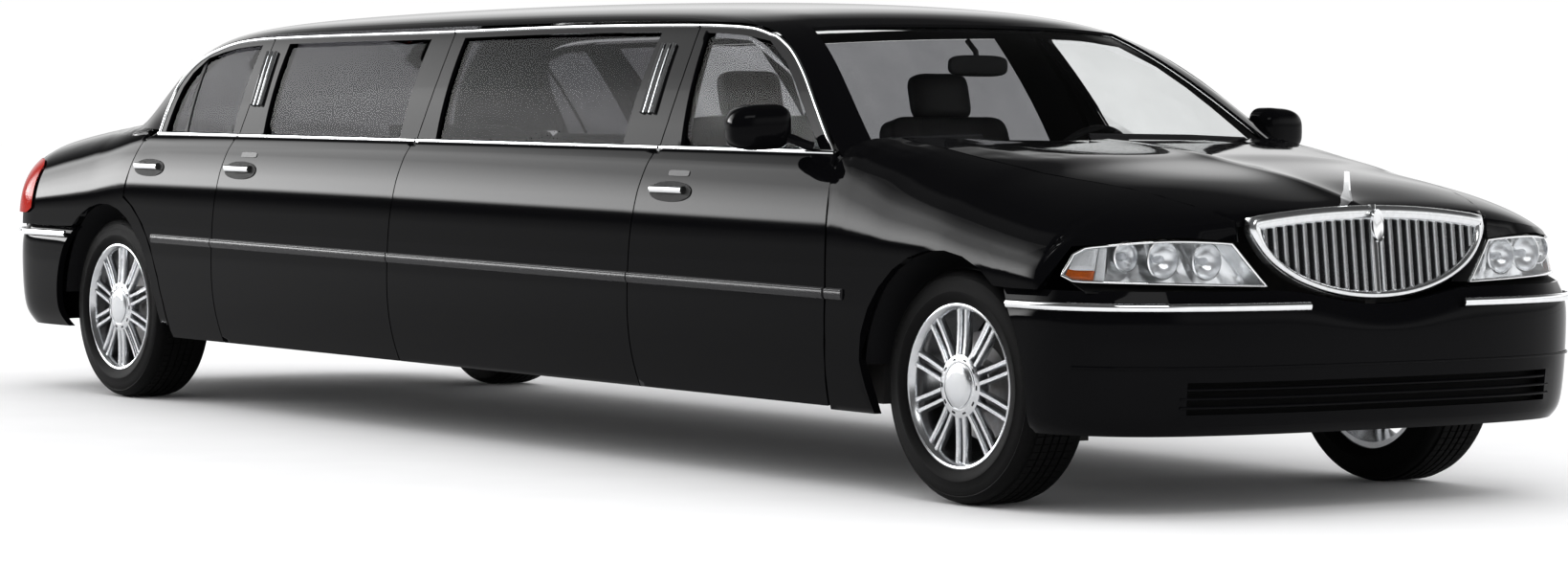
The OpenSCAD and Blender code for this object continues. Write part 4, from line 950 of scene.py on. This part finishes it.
# Plain nodes keep their solids and take a finish
plainNodes = {
    "ladder_frame": chassisBlack, "body_posts": chassisBlack, "floor_pan": chassisBlack,
    "wheel_liners": darkTrim, "cowl": darkTrim, "front_support": chassisBlack,
    "tail_lamps": tailRed, "wipers": darkTrim, "dashboard": darkTrim, "steering_wheel": darkTrim,
    "front_seats": leather, "lounge_seats": leather, "engine_block": chassisBlack, "front_arms": chassisBlack,
    "rear_axle": chassisBlack, "exhaust": steel, "fuel_tank": chassisBlack, "hood_ornament": chrome,
    "knuckle_r": steel, "knuckle_l": steel,
}
for node, mat in plainNodes.items():
    for slot in nodes[node].material_slots:
        slot.material = mat

# Stage, light and camera
shot = {"place": (12.748, -8.857, 1.184), "yaw": 143.96129, "pitch": -2.43027, "roll": 0.55611,
        "lens": 102.41}


def buildStage():
    bm = bmesh.new()
    bmesh.ops.create_circle(bm, cap_ends=True, segments=96, radius=70)
    mesh = bpy.data.meshes.new("floor")
    bm.to_mesh(mesh)
    bm.free()
    floor = bpy.data.objects.new("floor", mesh)
    bpy.context.scene.collection.objects.link(floor)
    pale = finish("paleFloor", (0.86, 0.86, 0.86), (0.84, 0.84, 0.84), (0.8, 0.9), 3, Specular_IOR_Level=0.0)
    mesh.materials.append(pale)
    floor.location.z = -0.001


sky = {  # brightness against the sine of the height above the horizon
    "dark": ((0.0, 1.0), (0.035, 1.0), (0.08, 0.06), (0.3, 0.08), (1.0, 0.1)),
    "far": ((0.0, 0.56), (0.035, 0.56), (0.06, 0.35), (0.16, 0.8), (0.27, 0.7), (0.36, 0.25), (0.46, 0.04),
            (1.0, 0.03)),
    "softbox": ((0.105, 0.0), (0.118, 1.0), (0.16, 0.94), (0.2, 0.75), (0.29, 0.36), (0.42, 0.34),
                (0.5, 0.14), (0.62, 0.02)),
    "farGain": 1.8, "softGain": 24,
}


def buildWorld():
    world = bpy.data.worlds.new("studio")
    bpy.context.scene.world = world
    world.use_nodes = True
    tree = world.node_tree
    coords = tree.nodes.new("ShaderNodeTexCoord")
    split = tree.nodes.new("ShaderNodeSeparateXYZ")
    tree.links.new(coords.outputs["Generated"], split.inputs["Vector"])

    def ramp(stops):
        node = tree.nodes.new("ShaderNodeValToRGB")
        while len(node.color_ramp.elements) < len(stops):
            node.color_ramp.elements.new(0.5)
        for stop, (place, level) in zip(node.color_ramp.elements, stops):
            stop.position = place
            stop.color = (level, level, level, 1)
        tree.links.new(split.outputs["Z"], node.inputs["Fac"])
        return node.outputs["Color"]

    def within(axis, start, end):
        node = tree.nodes.new("ShaderNodeMapRange")
        node.interpolation_type = "SMOOTHSTEP"
        node.inputs["From Min"].default_value = start
        node.inputs["From Max"].default_value = end
        tree.links.new(split.outputs[axis], node.inputs["Value"])
        return node.outputs["Result"]

    def sums(operation, first, second):
        node = tree.nodes.new("ShaderNodeMath")
        node.operation = operation
        for socket, value in zip(node.inputs, (first, second)):
            if isinstance(value, (int, float)):
                socket.default_value = value
            else:
                tree.links.new(value, socket)
        return node.outputs["Value"]

    def blend(factor, first, second):
        node = tree.nodes.new("ShaderNodeMix")
        node.data_type = "RGBA"
        tree.links.new(factor, node.inputs["Factor"])
        for socket, value in (("A", first), ("B", second)):
            if isinstance(value, tuple):
                node.inputs[socket].default_value = value
            else:
                tree.links.new(value, node.inputs[socket])
        return node.outputs["Result"]
    far = sums("MULTIPLY", ramp(sky["far"]), sky["farGain"])
    plain = blend(within("Y", -0.15, 0.15), ramp(sky["dark"]), far)
    beside = sums("MULTIPLY", within("Y", -0.1, -0.2), within("X", -0.35, -0.6))
    beside = sums("MULTIPLY", beside, within("Y", -0.74, -0.64))
    soft = sums("MULTIPLY", sums("MULTIPLY", ramp(sky["softbox"]), sky["softGain"]), beside)
    seen = sums("ADD", plain, soft)
    light = tree.nodes.new("ShaderNodeLightPath")
    straight = sums("MAXIMUM", light.outputs["Is Camera Ray"], light.outputs["Is Glossy Ray"])
    straight = sums("MAXIMUM", straight, light.outputs["Is Transmission Ray"])
    result = blend(straight, (1.24, 1.24, 1.25, 1), seen)
    tree.links.new(result, tree.nodes["Background"].inputs["Color"])


def areaLight(name, place, aim, size, power):
    lamp = bpy.data.lights.new(name, "AREA")
    lamp.shape = "RECTANGLE"
    lamp.size, lamp.size_y = size
    lamp.energy = power
    holder = bpy.data.objects.new(name, lamp)
    holder.location = place
    holder.rotation_euler = (Vector(aim) - Vector(place)).to_track_quat("-Z", "Y").to_euler()
    bpy.context.scene.collection.objects.link(holder)


def buildCamera():
    cam = bpy.data.cameras.new("photoView")
    cam.sensor_width = 36
    cam.lens = shot["lens"]
    cam.clip_end = 300
    yaw, pitch, roll = (math.radians(shot[k]) for k in ("yaw", "pitch", "roll"))
    look = Vector((math.cos(pitch) * math.cos(yaw), math.cos(pitch) * math.sin(yaw), math.sin(pitch)))
    right = look.cross(Vector((0, 0, 1))).normalized()
    up = right.cross(look)
    turned = right * math.cos(roll) + up * math.sin(roll)
    raised = up * math.cos(roll) - right * math.sin(roll)
    holder = bpy.data.objects.new("photoView", cam)
    facing = Matrix((turned, raised, -look)).transposed().to_4x4()
    holder.matrix_world = Matrix.Translation(shot["place"]) @ facing
    bpy.context.scene.collection.objects.link(holder)
    bpy.context.scene.camera = holder


buildStage()
buildWorld()
areaLight("sideSoftbox", (-11, -6.5, 6.0), (-11, 0, 6.0), (14, 8), 350)
areaLight("noseSoftbox", (8.0, -2.5, 5.0), (3.0, -0.5, 0.8), (4.0, 1.4), 100)
buildCamera()
bpy.context.scene.view_settings.view_transform = "Standard"
print("stage, light and camera set")
